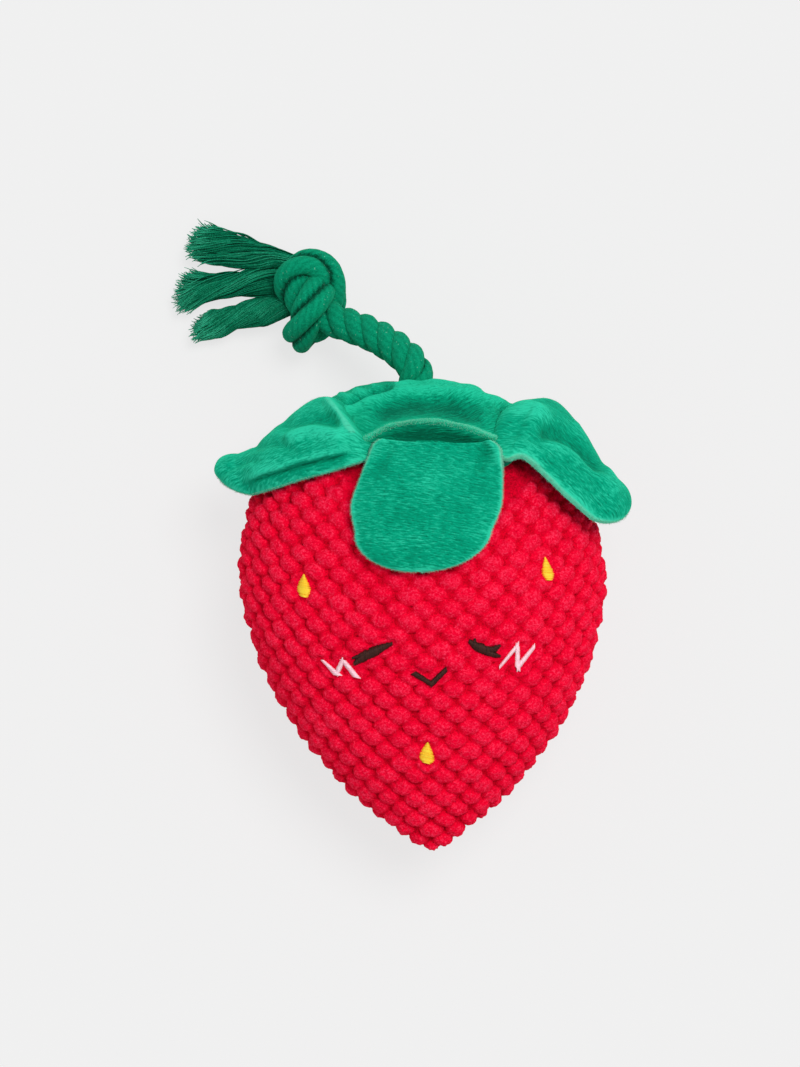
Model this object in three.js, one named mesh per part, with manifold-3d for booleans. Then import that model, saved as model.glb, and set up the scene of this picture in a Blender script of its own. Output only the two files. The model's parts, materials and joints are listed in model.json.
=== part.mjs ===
// A stuffed plush strawberry that a dog can carry by its rope stem.
// It lies on its back with the face up. Millimetres, +Z up, +Y towards the leafy cap, +X to its right.
// The strawberry's skin is two sewn panels of popcorn plush, filled with fibre round a squeaker.
// Five sewn leaves hang from a draped disc, and a knotted cotton rope leaves the middle of that disc.
import * as THREE from 'three';
import { LoftGeometry } from 'three/addons/geometries/LoftGeometry.js';
import { mergeVertices } from 'three/addons/utils/BufferGeometryUtils.js';
import Module from 'manifold-3d';

const wasm = await Module();
wasm.setup();

// Clearances shared by all pieces
const seamGap = 0.3;
const restGap = 0.3;
const cutOverrun = 20;
const weldDistance = 0.0005;
const degree = Math.PI / 180;

// Stuffed body, measured at the ground of the plush between its bobbles
const bodyHalfWidth = 56.6;
const bodyHalfDepth = 36;
const crownLength = 58;
const tipLength = 87;
const widestRowY = 12.8;
const squashedDepth = 0.5;
const skinThickness = 2.5;
const leanShare = 0.035;
const tipTaperPower = 1.9;
const tipBluntPower = 0.85;
const bodyCentreZ = bodyHalfDepth - squashedDepth;

// Bobbles of the popcorn plush, set like bricks
const bobbleWidth = 8.7;
const bobbleRowPitch = 4.3;
const bobbleHeight = 2;

// Draped disc in the middle of the leafy cap
const discHalfWidth = 31;
const discHalfDepth = 24.5;
const discThickness = 3.4;
const discLipHeight = 2.6;
const discFoldHeight = 0.7;
const discRimBulge = 1;
const drapeGap = 0.45;

// Leaves
const leafLength = 45;
const leafHalfWidth = 23.5;
const leafThickness = 4.4;
const leafCup = 3.6;
const curledLeafHalfWidth = 19;
const foldedLeafHalfWidth = 16.5;
const backLeafHalfWidth = 17;

// Rope with its knot and tassels
const ropeDiameter = 11;
const ropeHoleClearance = 0.6;
const ropeStandOff = 2;
const knotRopeDiameter = 9.4;
const knotHeartRadius = 6.6;
const anchorLength = 26;
const anchorKnotRadius = 9;
const tasselLength = 29;
const tasselThickness = 8;

// Squeaker
const bulbRadius = 18;
const bulbHalfHeight = 11;
const bulbWall = 1.2;
const bulbNeckRadius = 5;
const bulbBackset = 2;
const reedFlangeRadius = 6.4;
const reedFlangeThickness = 1.2;
const reedLength = 6;
const reedBoreRadius = 1.3;

// Embroidery: how far its satin threads reach above the ground of the plush, and their seat in it
const threadTop = 2.2;
const threadSeat = 0.9;
const eyeStitchWidth = 2.1;
const mouthStitchWidth = 1.7;
const blushStitchWidth = 1.3;
const seedHalfWidth = 2.2;
const seedHalfLength = 4;

// Plain material of each kind of piece
function paint(color, roughness) {
  return new THREE.MeshStandardMaterial({ color, roughness, metalness: 0 });
}
const redPlush = paint(0xdc0b32, 0.95);
const greenPlush = paint(0x079e79, 0.9);
const discPlush = paint(0x099873, 0.9);
const greenRope = paint(0x067555, 0.95);
const greenYarn = paint(0x096044, 0.95);
const whiteFibre = paint(0xf2f1ec, 1);
const bulbPlastic = paint(0xe8e6dc, 0.45);
const reedPlastic = paint(0xd9d6c8, 0.35);
const yellowThread = paint(0xf8c53a, 0.5);
const darkThread = paint(0x321914, 0.55);
const pinkThread = paint(0xffb4c8, 0.5);

// Solids from three.js geometry and back again
function solid(geometry) {
  const bare = geometry.index ? geometry.toNonIndexed() : geometry.clone();
  bare.deleteAttribute('normal');
  bare.deleteAttribute('uv');
  const merged = mergeVertices(bare, weldDistance);
  const vertProperties = merged.attributes.position.array;
  const triVerts = new Uint32Array(merged.index.array);
  return new wasm.Manifold(new wasm.Mesh({ numProp: 3, vertProperties, triVerts }));
}

function geometryOf(manifold) {
  const mesh = manifold.getMesh();
  const geometry = new THREE.BufferGeometry();
  geometry.setAttribute('position', new THREE.BufferAttribute(new Float32Array(mesh.vertProperties), 3));
  geometry.setIndex(new THREE.BufferAttribute(new Uint32Array(mesh.triVerts), 1));
  const flat = geometry.toNonIndexed();
  flat.computeVertexNormals();
  return flat;
}

const toy = new THREE.Group();

function add(name, shape, material) {
  const mesh = new THREE.Mesh(geometryOf(shape), material);
  mesh.name = name;
  toy.add(mesh);
}

function box(low, high) {
  const size = high.clone().sub(low);
  const geometry = new THREE.BoxGeometry(size.x, size.y, size.z);
  geometry.translate((low.x + high.x) / 2, (low.y + high.y) / 2, (low.z + high.z) / 2);
  return solid(geometry);
}

function loft(sections) {
  return solid(new LoftGeometry(sections, { capStart: true, capEnd: true }));
}

// A point of the body. station runs from -1 at the tip over 0 at the widest row to 1 at the cap,
// angle turns round the body from its right seam over the front, outset is the height above the ground.
function bodyPoint(station, angle, outset) {
  const along = Math.abs(station);
  let share = Math.cos((along * Math.PI) / 2);
  let y = widestRowY + crownLength * Math.sin((along * Math.PI) / 2);
  let slope = Math.sin((along * Math.PI) / 2) / crownLength;
  if (station < 0) {
    const taper = 1 - along ** tipTaperPower;
    share = taper ** tipBluntPower;
    y = widestRowY - tipLength * along;
    slope = -tipBluntPower * tipTaperPower * along ** (tipTaperPower - 1) * taper ** (2 * tipBluntPower - 1);
    slope /= tipLength;
  }
  const x = bodyHalfWidth * share * Math.cos(angle);
  const z = bodyHalfDepth * share * Math.sin(angle);
  const normal = new THREE.Vector3(x / bodyHalfWidth ** 2, slope, z / bodyHalfDepth ** 2).normalize();
  const point = new THREE.Vector3(x, y, z).addScaledVector(normal, outset);
  point.x -= leanShare * point.y;
  point.z += bodyCentreZ;
  return point;
}

// The smooth body, grown or shrunk by outset, from one station to another
function bodyLoft(outset, rows, sides, firstStation, lastStation) {
  const sections = [];
  for (let row = 0; row <= rows; row += 1) {
    const station = THREE.MathUtils.lerp(firstStation, lastStation, row / rows);
    const ring = [];
    for (let side = 0; side < sides; side += 1) {
      ring.push(bodyPoint(station, (-side / sides) * 2 * Math.PI, outset));
    }
    sections.push(ring);
  }
  return loft(sections);
}

// Stations whose rows lie one bobble row apart along the middle of the front
function bobbleStations() {
  const samples = 240;
  const lengths = [0];
  let last = bodyPoint(-1, Math.PI / 2, 0);
  for (let i = 1; i <= samples; i += 1) {
    const next = bodyPoint(-1 + (2 * i) / samples, Math.PI / 2, 0);
    lengths.push(lengths[i - 1] + next.distanceTo(last));
    last = next;
  }
  const total = lengths[samples];
  const rows = Math.round(total / bobbleRowPitch);
  const stations = [];
  let i = 0;
  for (let row = 0; row <= rows; row += 1) {
    const target = (total * row) / rows;
    while (i < samples - 1 && lengths[i + 1] < target) {
      i += 1;
    }
    const part = (target - lengths[i]) / (lengths[i + 1] - lengths[i]);
    stations.push(-1 + (2 * (i + part)) / samples);
  }
  return stations;
}

// Angles and distances from the middle, measured along one row of a panel from its right seam to its left
function rowArc(station) {
  const samples = 90;
  const arc = [{ angle: 0, distance: 0 }];
  let last = bodyPoint(station, 0, 0);
  for (let i = 1; i <= samples; i += 1) {
    const angle = (Math.PI * i) / samples;
    const next = bodyPoint(station, angle, 0);
    arc.push({ angle, distance: arc[i - 1].distance + next.distanceTo(last) });
    last = next;
  }
  return arc;
}

function angleAt(arc, distance) {
  let i = 0;
  while (i < arc.length - 2 && arc[i + 1].distance < distance) {
    i += 1;
  }
  const part = (distance - arc[i].distance) / (arc[i + 1].distance - arc[i].distance);
  return THREE.MathUtils.lerp(arc[i].angle, arc[i + 1].angle, part);
}

// The plush has no bobbles where the disc lies on it and just past its rim
function isUnderDisc(point) {
  const margin = discThickness + bobbleWidth / 2;
  const acrossShare = (point.x + leanShare * point.y) / (discHalfWidth + margin);
  const depthShare = (point.z - bodyCentreZ) / (discHalfDepth + margin);
  return Math.hypot(acrossShare, depthShare) < 1;
}

// One row of a panel: seam, then peaks and valleys half a bobble apart, then seam
function bobbleRow(station, rowNumber, face) {
  const seamOffset = (face * seamGap) / 2;
  if (Math.abs(station) > 0.9999) {
    const end = bodyPoint(station, 0, 0);
    end.z = bodyCentreZ + seamOffset;
    return [{ point: end, distance: 0, peak: false }];
  }
  const arc = rowArc(station);
  const half = arc[arc.length - 1].distance / 2;
  const step = bobbleWidth / 2;
  const reach = Math.max(0, Math.floor((half - step * 0.6) / step));
  const row = [];
  const right = bodyPoint(station, 0, 0);
  right.z = bodyCentreZ + seamOffset;
  row.push({ point: right, distance: -half, peak: false });
  for (let column = -reach; column <= reach; column += 1) {
    const distance = column * step;
    const angle = face * angleAt(arc, half + distance);
    const ground = bodyPoint(station, angle, 0);
    const underDisc = station > 0 && isUnderDisc(ground);
    const peak = (column + rowNumber) % 2 === 0 && !underDisc;
    row.push({ point: peak ? bodyPoint(station, angle, bobbleHeight) : ground, distance, peak });
  }
  const left = bodyPoint(station, Math.PI, 0);
  left.z = bodyCentreZ + seamOffset;
  row.push({ point: left, distance: half, peak: false });
  return row;
}

// Joins two rows with triangles, keeping the edges short and off the line from peak to peak
function zipRows(lower, upper, addFace) {
  const cost = (a, b) => Math.abs(a.distance - b.distance) + (a.peak && b.peak ? bobbleWidth : 0);
  let i = 0;
  let j = 0;
  while (i < lower.length - 1 || j < upper.length - 1) {
    const lowerCost = i < lower.length - 1 ? cost(lower[i + 1], upper[j]) : Infinity;
    const upperCost = j < upper.length - 1 ? cost(lower[i], upper[j + 1]) : Infinity;
    if (lowerCost <= upperCost) {
      addFace(lower[i].point, upper[j].point, lower[i + 1].point);
      i += 1;
    } else {
      addFace(lower[i].point, upper[j].point, upper[j + 1].point);
      j += 1;
    }
  }
}

// Half of the body with its bobbles, closed by a flat face at the seam; face is 1 in front, -1 behind
function bobbledHalf(face) {
  const positions = [];
  const addFace = (a, b, c) => {
    const corners = face > 0 ? [a, b, c] : [a, c, b];
    corners.forEach((corner) => positions.push(corner.x, corner.y, corner.z));
  };
  const rows = bobbleStations().map((station, number) => bobbleRow(station, number, face));
  for (let i = 0; i < rows.length - 1; i += 1) {
    zipRows(rows[i], rows[i + 1], addFace);
    const [rightLow, leftLow] = [rows[i][0], rows[i][rows[i].length - 1]];
    const [rightHigh, leftHigh] = [rows[i + 1][0], rows[i + 1][rows[i + 1].length - 1]];
    if (leftLow !== rightLow) {
      addFace(rightLow.point, leftLow.point, leftHigh.point);
    }
    if (leftHigh !== rightHigh) {
      addFace(rightLow.point, leftHigh.point, rightHigh.point);
    }
  }
  const geometry = new THREE.BufferGeometry();
  geometry.setAttribute('position', new THREE.Float32BufferAttribute(positions, 3));
  return solid(geometry);
}

// Where the rope leaves: straight out of the crown
const crownPoint = bodyPoint(1, 0, 0);
const ropePivot = new THREE.Vector3(
  crownPoint.x,
  crownPoint.y + restGap + discThickness + ropeStandOff,
  crownPoint.z
);
const ropeHoleRadius = ropeDiameter / 2 + ropeHoleClearance;

function alongY(geometry, place) {
  geometry.translate(place.x, place.y, place.z);
  return solid(geometry);
}

const ropeHole = alongY(
  new THREE.CylinderGeometry(ropeHoleRadius, ropeHoleRadius, cutOverrun * 2, 20),
  ropePivot
);

// Embroidery: each mark is an outline pressed through a band of thread that follows the body
const threadReach = bodyHalfDepth * 2;
const threadRows = 56;
const threadSides = 96;
const threadEndShare = 0.97;

function threadBand(outset) {
  return bodyLoft(outset, threadRows, threadSides, -threadEndShare, threadEndShare);
}
const threadBandTop = threadBand(threadTop);
const threadBandSeat = threadBand(threadSeat);
const threadPocketFloor = threadBand(threadSeat - restGap);

// Places on the front are shares of the body's half width, and of its length from the widest row to the tip
function frontPlace([acrossShare, alongShare]) {
  return new THREE.Vector2(bodyHalfWidth * acrossShare, widestRowY + tipLength * alongShare);
}

function stroke(placeShares, width, clearance) {
  const places = placeShares.map(frontPlace);
  let joined = null;
  for (let i = 0; i < places.length - 1; i += 1) {
    const [from, to] = [places[i], places[i + 1]];
    const run = to.clone().sub(from);
    const wide = width + clearance * 2;
    const geometry = new THREE.BoxGeometry(run.length() + wide, wide, threadReach);
    geometry.rotateZ(run.angle());
    geometry.translate((from.x + to.x) / 2, (from.y + to.y) / 2, bodyCentreZ + threadReach / 2);
    joined = joined ? joined.add(solid(geometry)) : solid(geometry);
  }
  return joined;
}

// A drop-shaped seed, its point towards the cap
function seed(placeShare, tilt, clearance) {
  const wide = seedHalfWidth + clearance;
  const long = seedHalfLength + clearance;
  const shape = new THREE.Shape();
  shape.moveTo(0, long);
  shape.bezierCurveTo(wide * 0.35, long * 0.5, wide, 0, wide * 0.9, -long * 0.45);
  shape.bezierCurveTo(wide * 0.75, -long, -wide * 0.75, -long, -wide * 0.9, -long * 0.45);
  shape.bezierCurveTo(-wide, 0, -wide * 0.35, long * 0.5, 0, long);
  const pressed = { depth: threadReach, bevelEnabled: false, curveSegments: 5 };
  const geometry = new THREE.ExtrudeGeometry(shape, pressed);
  const place = frontPlace(placeShare);
  geometry.rotateZ(tilt);
  geometry.translate(place.x, place.y, bodyCentreZ);
  return solid(geometry);
}

const eyeLeftShares = [[-0.184, -0.26], [-0.283, -0.29], [-0.396, -0.31]];
const eyeLeftLashShares = [[-0.265, -0.292], [-0.364, -0.338]];
const eyeRightShares = [[0.279, -0.246], [0.336, -0.271], [0.431, -0.267]];
const eyeRightLashShares = [[0.318, -0.269], [0.413, -0.301]];
const mouthShares = [[-0.048, -0.37], [0.048, -0.414], [0.124, -0.356]];
const blushLeftShares = [[-0.571, -0.321], [-0.491, -0.37], [-0.456, -0.321], [-0.38, -0.382]];
const blushRightShares = [[0.438, -0.345], [0.534, -0.262], [0.534, -0.352], [0.622, -0.269]];
const seedLeftShare = [-0.675, -0.046];
const seedRightShare = [0.698, 0.016];
const seedLowerShare = [0.021, -0.657];

function eye(lineShares, lashShares, clearance) {
  return stroke(lineShares, eyeStitchWidth, clearance).add(stroke(lashShares, eyeStitchWidth, clearance));
}
const marks = [
  ['seed_left', yellowThread, (clearance) => seed(seedLeftShare, 0, clearance)],
  ['seed_right', yellowThread, (clearance) => seed(seedRightShare, -10 * degree, clearance)],
  ['seed_lower', yellowThread, (clearance) => seed(seedLowerShare, 4 * degree, clearance)],
  ['eye_left', darkThread, (clearance) => eye(eyeLeftShares, eyeLeftLashShares, clearance)],
  ['eye_right', darkThread, (clearance) => eye(eyeRightShares, eyeRightLashShares, clearance)],
  ['mouth', darkThread, (clearance) => stroke(mouthShares, mouthStitchWidth, clearance)],
  ['blush_left', pinkThread, (clearance) => stroke(blushLeftShares, blushStitchWidth, clearance)],
  ['blush_right', pinkThread, (clearance) => stroke(blushRightShares, blushStitchWidth, clearance)]
];

// Skin panels: bobbled halves hollowed by the body's inside, with pockets for the embroidery
const insideRows = 15;
const insideSides = 24;
const insideTipShare = 0.94;
const insideCrownShare = 0.96;
const inside = bodyLoft(-skinThickness, insideRows, insideSides, -insideTipShare, insideCrownShare);
let frontPanel = bobbledHalf(1).subtract(inside).subtract(ropeHole);
marks.forEach(([, , outline]) => {
  frontPanel = frontPanel.subtract(outline(restGap).subtract(threadPocketFloor));
});
add('body_front_panel', frontPanel, redPlush);

// Blocks that reach well past the toy on all sides, between two heights
const reachX = bodyHalfWidth * 2;
const reachY = tipLength * 2;
const reachZ = bodyHalfDepth * 3;

function layer(bottom, top) {
  return box(new THREE.Vector3(-reachX, -reachY, bottom), new THREE.Vector3(reachX, reachY, top));
}
const underTable = layer(-reachZ, 0);
add('body_back_panel', bobbledHalf(-1).subtract(inside).subtract(ropeHole).subtract(underTable), redPlush);

marks.forEach(([name, material, outline]) => {
  add(name, outline(0).intersect(threadBandTop).subtract(threadBandSeat), material);
});

// Squeaker: an open-necked bulb standing on its base, and the reed plug in its neck
const bulbCentre = new THREE.Vector3(0, -bulbBackset, bodyCentreZ);

function turned(profile, segments, place) {
  const geometry = new THREE.LatheGeometry(profile, segments);
  geometry.rotateX(Math.PI / 2);
  geometry.translate(place.x, place.y, place.z);
  return solid(geometry);
}

function bulbProfile(outset) {
  const neckAngle = Math.asin(bulbNeckRadius / bulbRadius);
  const steps = 7;
  const points = [];
  for (let i = 0; i <= steps; i += 1) {
    const angle = THREE.MathUtils.lerp(0, Math.PI - neckAngle, i / steps);
    const radius = (bulbRadius + outset) * Math.sin(angle);
    points.push(new THREE.Vector2(radius, -(bulbHalfHeight + outset) * Math.cos(angle)));
  }
  return points;
}
const bulbInner = bulbProfile(-bulbWall);
const bulbOuter = bulbProfile(0);
bulbInner[0].x = 0;
bulbOuter[0].x = 0;
add('squeaker_bulb', turned([...bulbOuter, ...bulbInner.reverse()], 20, bulbCentre), bulbPlastic);

const neckTop = bulbOuter[bulbOuter.length - 1].y;
const reedStemRadius = bulbInner[0].x - restGap;
const reedSeat = neckTop + restGap;
const reedProfile = [
  [reedBoreRadius, reedSeat - reedLength],
  [reedStemRadius, reedSeat - reedLength],
  [reedStemRadius, reedSeat],
  [reedFlangeRadius, reedSeat],
  [reedFlangeRadius, reedSeat + reedFlangeThickness],
  [reedBoreRadius, reedSeat + reedFlangeThickness],
  [reedBoreRadius, reedSeat - reedLength]
].map(([radius, height]) => new THREE.Vector2(radius, height));
add('squeaker_reed', turned(reedProfile, 16, bulbCentre), reedPlastic);

// Rope's inner end: a stopper knot inside the crown, and its neck up to the rope's root
const anchorTop = ropePivot.y - ropeDiameter / 2 - restGap;
const anchorProfile = [
  [0, anchorTop - anchorLength],
  [anchorKnotRadius * 0.7, anchorTop - anchorLength + anchorKnotRadius * 0.25],
  [anchorKnotRadius, anchorTop - anchorLength + anchorKnotRadius * 0.8],
  [anchorKnotRadius * 0.85, anchorTop - anchorLength + anchorKnotRadius * 1.4],
  [ropeDiameter / 2, anchorTop - anchorLength + anchorKnotRadius * 1.8],
  [ropeDiameter / 2, anchorTop],
  [0, anchorTop]
].map(([radius, height]) => new THREE.Vector2(radius, height));
const anchorPlace = new THREE.Vector3(ropePivot.x, 0, ropePivot.z);
add('rope_anchor', alongY(new THREE.LatheGeometry(anchorProfile, 16), anchorPlace), greenRope);

// Stuffing: two cushions of fibre that fill the skin and leave room for what lies between them
const fillOutset = -skinThickness - restGap;
const fill = bodyLoft(fillOutset, insideRows, insideSides, -insideTipShare, insideCrownShare);
const bulbSpace = turned(
  [
    new THREE.Vector2(0, -bulbHalfHeight - restGap),
    ...bulbProfile(restGap).slice(1),
    new THREE.Vector2(reedFlangeRadius + restGap, neckTop),
    new THREE.Vector2(reedFlangeRadius + restGap, reedSeat + reedFlangeThickness + restGap),
    new THREE.Vector2(0, reedSeat + reedFlangeThickness + restGap)
  ],
  20,
  bulbCentre
);
const anchorSpaceRadius = anchorKnotRadius + restGap;
const anchorSpaceLength = anchorLength + restGap;
const anchorSpaceGeometry = new THREE.CylinderGeometry(
  anchorSpaceRadius,
  anchorSpaceRadius,
  anchorSpaceLength + cutOverrun,
  16
);
const anchorSpace = alongY(
  anchorSpaceGeometry,
  new THREE.Vector3(ropePivot.x, anchorTop - anchorSpaceLength / 2 + cutOverrun / 2, ropePivot.z)
);
const fillWithPocket = fill.subtract(bulbSpace).subtract(anchorSpace);
const frontHalf = layer(bodyCentreZ + seamGap / 2, reachZ);
const backHalf = layer(-reachZ, bodyCentreZ - seamGap / 2);
add('stuffing_front', fillWithPocket.intersect(frontHalf), whiteFibre);
add('stuffing_back', fillWithPocket.intersect(backHalf), whiteFibre);

// Height of the crown above the widest row at a place seen along the body's axis, as a share of its length
function crownShare(x, z) {
  return Math.sqrt(1 - (x / bodyHalfWidth) ** 2 - (z / bodyHalfDepth) ** 2);
}

// A point of the cap: share runs from the rope's hole at 0 to the disc's rim at 1
function capPoint(share, angle, outset) {
  const x = THREE.MathUtils.lerp(ropeHoleRadius, discHalfWidth, share) * Math.cos(angle);
  const z = THREE.MathUtils.lerp(ropeHoleRadius, discHalfDepth, share) * Math.sin(angle);
  const point = new THREE.Vector3(x, widestRowY + crownLength * crownShare(x, z), z);
  point.addScaledVector(crownNormal(x, z), outset);
  point.x -= leanShare * point.y;
  point.z += bodyCentreZ;
  return point;
}

function crownNormal(x, z) {
  const slope = crownShare(x, z) / crownLength;
  return new THREE.Vector3(x / bodyHalfWidth ** 2, slope, z / bodyHalfDepth ** 2).normalize();
}

// The cap's own directions at its rim: outward from the body, across along the rim, and down the body
function rimFrame(angle, outset) {
  const outward = crownNormal(discHalfWidth * Math.cos(angle), discHalfDepth * Math.sin(angle));
  const across = capPoint(1, angle + degree, outset).sub(capPoint(1, angle - degree, outset));
  across.addScaledVector(outward, -across.dot(outward)).normalize();
  const down = outward.clone().cross(across);
  return { point: capPoint(1, angle, outset), across, down, outward };
}

// Disc: a ring-shaped drape over the crown, with low folds and a raised lip above the front leaf
const frontLeafAngle = 79 * degree;
const lipHalfAngle = 52 * degree;
const undersideShares = [0.1, 0.4, 0.7, 1];

function lipShare(angle) {
  const fromFront = Math.abs(angle - frontLeafAngle);
  return fromFront < lipHalfAngle ? Math.cos(((fromFront / lipHalfAngle) * Math.PI) / 2) ** 2 : 0;
}

function discSection(angle) {
  const under = drapeGap;
  const top = drapeGap + discThickness;
  const lip = discLipHeight * lipShare(angle);
  const fold = discFoldHeight * Math.cos(5 * (angle - frontLeafAngle) + Math.PI);
  const rim = rimFrame(angle, under + discThickness / 2 + lip / 2);
  return [
    ...undersideShares.map((share) => capPoint(share, angle, under)),
    rim.point.addScaledVector(rim.down, discRimBulge),
    capPoint(1, angle, top + lip),
    capPoint(0.82, angle, top + lip * 0.7 + fold),
    capPoint(0.5, angle, top + fold * 0.7),
    capPoint(0.24, angle, top + fold * 0.2),
    capPoint(0, angle, top),
    capPoint(0, angle, under)
  ];
}
const discSides = 36;
const discSections = [];
for (let i = 0; i <= discSides; i += 1) {
  discSections.push(discSection(((i % discSides) / discSides) * 2 * Math.PI));
}
add('calyx_disc', solid(new LoftGeometry(discSections)), discPlush);

// Leaves: two-layer tongues that start at a rounded root beside the disc's rim
const leafRootRadius = leafThickness / 2;
const leafLift = bobbleHeight + restGap + leafRootRadius;

// A leaf's root lies one small gap from the rim of the disc, a little higher than the rim.
// turn swings its root line in the cap's surface, which takes the room that the round rim needs.
function leafFrame(angle, turn) {
  const frame = rimFrame(angle, leafLift);
  const rimToRoot = leafRootRadius + restGap + discRimBulge * lipShare(angle);
  const turnRoom = discHalfDepth * (1 - Math.cos(turn));
  frame.root = frame.point.addScaledVector(frame.down, rimToRoot + turnRoom);
  frame.across.applyAxisAngle(frame.outward, turn);
  frame.down.applyAxisAngle(frame.outward, turn);
  return frame;
}

// Share of the half width along a leaf, from its root at 0 to its round tip at 1
function leafOutline(along) {
  const widestShare = 0.56;
  if (along < widestShare) {
    return 0.8 + 0.2 * Math.sin(((along / widestShare) * Math.PI) / 2);
  }
  return Math.sqrt(Math.max(0, 1 - ((along - widestShare) / (1 - widestShare)) ** 2.2));
}

// turn swings the leaf's root line, sweep turns the leaf on from there, bend curls it towards the body,
// twist rolls it along its length, and cup draws its two sides in towards the body.
function leaf({ angle, turn, halfWidth, sweep, bend, twist, cup }) {
  const frame = leafFrame(angle, turn);
  const sweptDown = frame.down.clone().applyAxisAngle(frame.outward, sweep);
  const steps = 9;
  const tipShare = 0.988;
  const stations = [-0.95, -0.7, 0].map((share) => share * leafRootRadius);
  for (let i = 1; i <= steps; i += 1) {
    stations.push(leafLength * Math.sin((i / steps) * tipShare * (Math.PI / 2)));
  }
  const sections = [];
  const centre = frame.root.clone();
  let last = 0;
  stations.forEach((station) => {
    const along = Math.max(0, station / leafLength);
    const heading = frame.down.clone().lerp(sweptDown, Math.min(1, along * 3)).normalize();
    const curl = bend * along;
    const hingeLine = heading.clone().cross(frame.outward).normalize();
    const direction = heading.clone().applyAxisAngle(hingeLine, -curl);
    const up = frame.outward.clone().applyAxisAngle(hingeLine, -curl);
    centre.addScaledVector(direction, station - last);
    last = station;
    const side = direction.clone().cross(up).applyAxisAngle(direction, twist * along).normalize();
    const over = side.clone().cross(direction).normalize();
    const half = halfWidth * leafOutline(along);
    const rootRound = station < 0 ? Math.sqrt(1 - (station / leafRootRadius) ** 2) : 1;
    const thick = leafRootRadius * rootRound * Math.min(1, 0.35 + leafOutline(along));
    const dip = cup * Math.sin(Math.min(1, along * 1.6) * (Math.PI / 2));
    const ring = [];
    const sides = 12;
    for (let k = 0; k < sides; k += 1) {
      const turn = (k / sides) * 2 * Math.PI;
      const point = centre.clone().addScaledVector(side, -half * Math.cos(turn));
      point.addScaledVector(over, thick * Math.sin(turn) - dip * Math.cos(turn) ** 2);
      ring.push(point);
    }
    sections.push(ring);
  });
  return loft(sections);
}

const plushRows = 40;
const plushSides = 64;
const plushCrownShare = 0.985;
const plushTop = bodyLoft(bobbleHeight + restGap, plushRows, plushSides, -threadEndShare, plushCrownShare);
const plain = { turn: 0, sweep: 0, bend: 0, twist: 0, cup: 0 };
const underLeaves = layer(-reachZ, restGap);
const wide = { ...plain, halfWidth: leafHalfWidth, cup: leafCup };
const curled = { ...plain, halfWidth: curledLeafHalfWidth, cup: leafCup };
const folded = { ...plain, halfWidth: foldedLeafHalfWidth, cup: leafCup };
const narrow = { ...plain, halfWidth: backLeafHalfWidth, bend: 0.3 };
const leaves = {
  petal_front: { ...wide, angle: frontLeafAngle, turn: -0.1, sweep: -0.29, bend: 0.62 },
  petal_left: { ...folded, angle: 134 * degree, turn: -0.6, sweep: -0.6, bend: 0.42 },
  petal_right: { ...curled, angle: 26 * degree, turn: 0.2, sweep: 0.05, bend: 0.14 },
  petal_back_left: { ...narrow, angle: 228 * degree, sweep: -0.35, twist: -0.5 },
  petal_back_right: { ...narrow, angle: 312 * degree, sweep: 0.35, twist: 0.5 }
};
Object.entries(leaves).forEach(([name, shape]) => {
  add(name, leaf(shape).subtract(plushTop).subtract(underLeaves), greenPlush);
});

// Rope's free stretch, from its root over the crown down to the knot on the table
const stemRoute = [
  [0, 0, 0],
  [-0.3, 1.8, -0.2],
  [-1.7, 4, -1.4],
  [-4.4, 6.9, -3.8],
  [-8.4, 10, -7],
  [-13.2, 12.9, -10.6],
  [-18.6, 15.3, -14],
  [-23.8, 17.2, -17.2],
  [-27.6, 19, -19.6]
];

function routeCurve(points) {
  return new THREE.CatmullRomCurve3(points, false, 'centripetal');
}

function tube(curve, radius, sides, steps) {
  const circle = new THREE.Shape();
  for (let i = 0; i < sides; i += 1) {
    const turn = (i / sides) * 2 * Math.PI;
    const [x, y] = [radius * Math.cos(turn), radius * Math.sin(turn)];
    if (i === 0) {
      circle.moveTo(x, y);
    } else {
      circle.lineTo(x, y);
    }
  }
  circle.closePath();
  return solid(new THREE.ExtrudeGeometry(circle, { steps, extrudePath: curve, bevelEnabled: false }));
}
const stemCurve = routeCurve(stemRoute.map(([x, y, z]) => ropePivot.clone().add(new THREE.Vector3(x, y, z))));
const stemSides = 10;
const stemSteps = 14;
const rootBall = alongY(new THREE.SphereGeometry(ropeDiameter / 2, stemSides, 6), ropePivot);
const stem = tube(stemCurve, ropeDiameter / 2, stemSides, stemSteps).add(rootBall);

// Overhand knot: the rope's middle line from where it enters to where the tassels leave
const knotRoute = [
  [-30, 95.4, 16],
  [-33.2, 97.4, 13.6],
  [-37, 99.8, 11.6],
  [-40.8, 102, 12.2],
  [-42.8, 105.6, 14.6],
  [-42.4, 109.2, 16.6],
  [-39.6, 111.8, 17.4],
  [-36, 112.4, 17],
  [-32.6, 110.8, 16],
  [-30.6, 107.2, 14],
  [-30, 102.8, 10.6],
  [-31.4, 98.2, 6.8],
  [-34.6, 94.6, 5.2],
  [-38, 92, 6.2],
  [-40.2, 91, 10.4],
  [-40, 92.8, 15.4],
  [-38, 96.4, 19],
  [-35.6, 100.4, 19.8],
  [-34.2, 104.4, 17.4],
  [-34.8, 106.8, 12.6],
  [-37.6, 107, 8],
  [-41.4, 105.8, 5.8],
  [-46, 104.4, 5.2]
];
const knotCurve = routeCurve(knotRoute.map(([x, y, z]) => new THREE.Vector3(x, y, z)));

// The route is cut into runs that don't cross themselves, and their tubes are joined where they touch
const knotRunShares = [[0, 0.26], [0.24, 0.5], [0.48, 0.74], [0.72, 1]];

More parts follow.
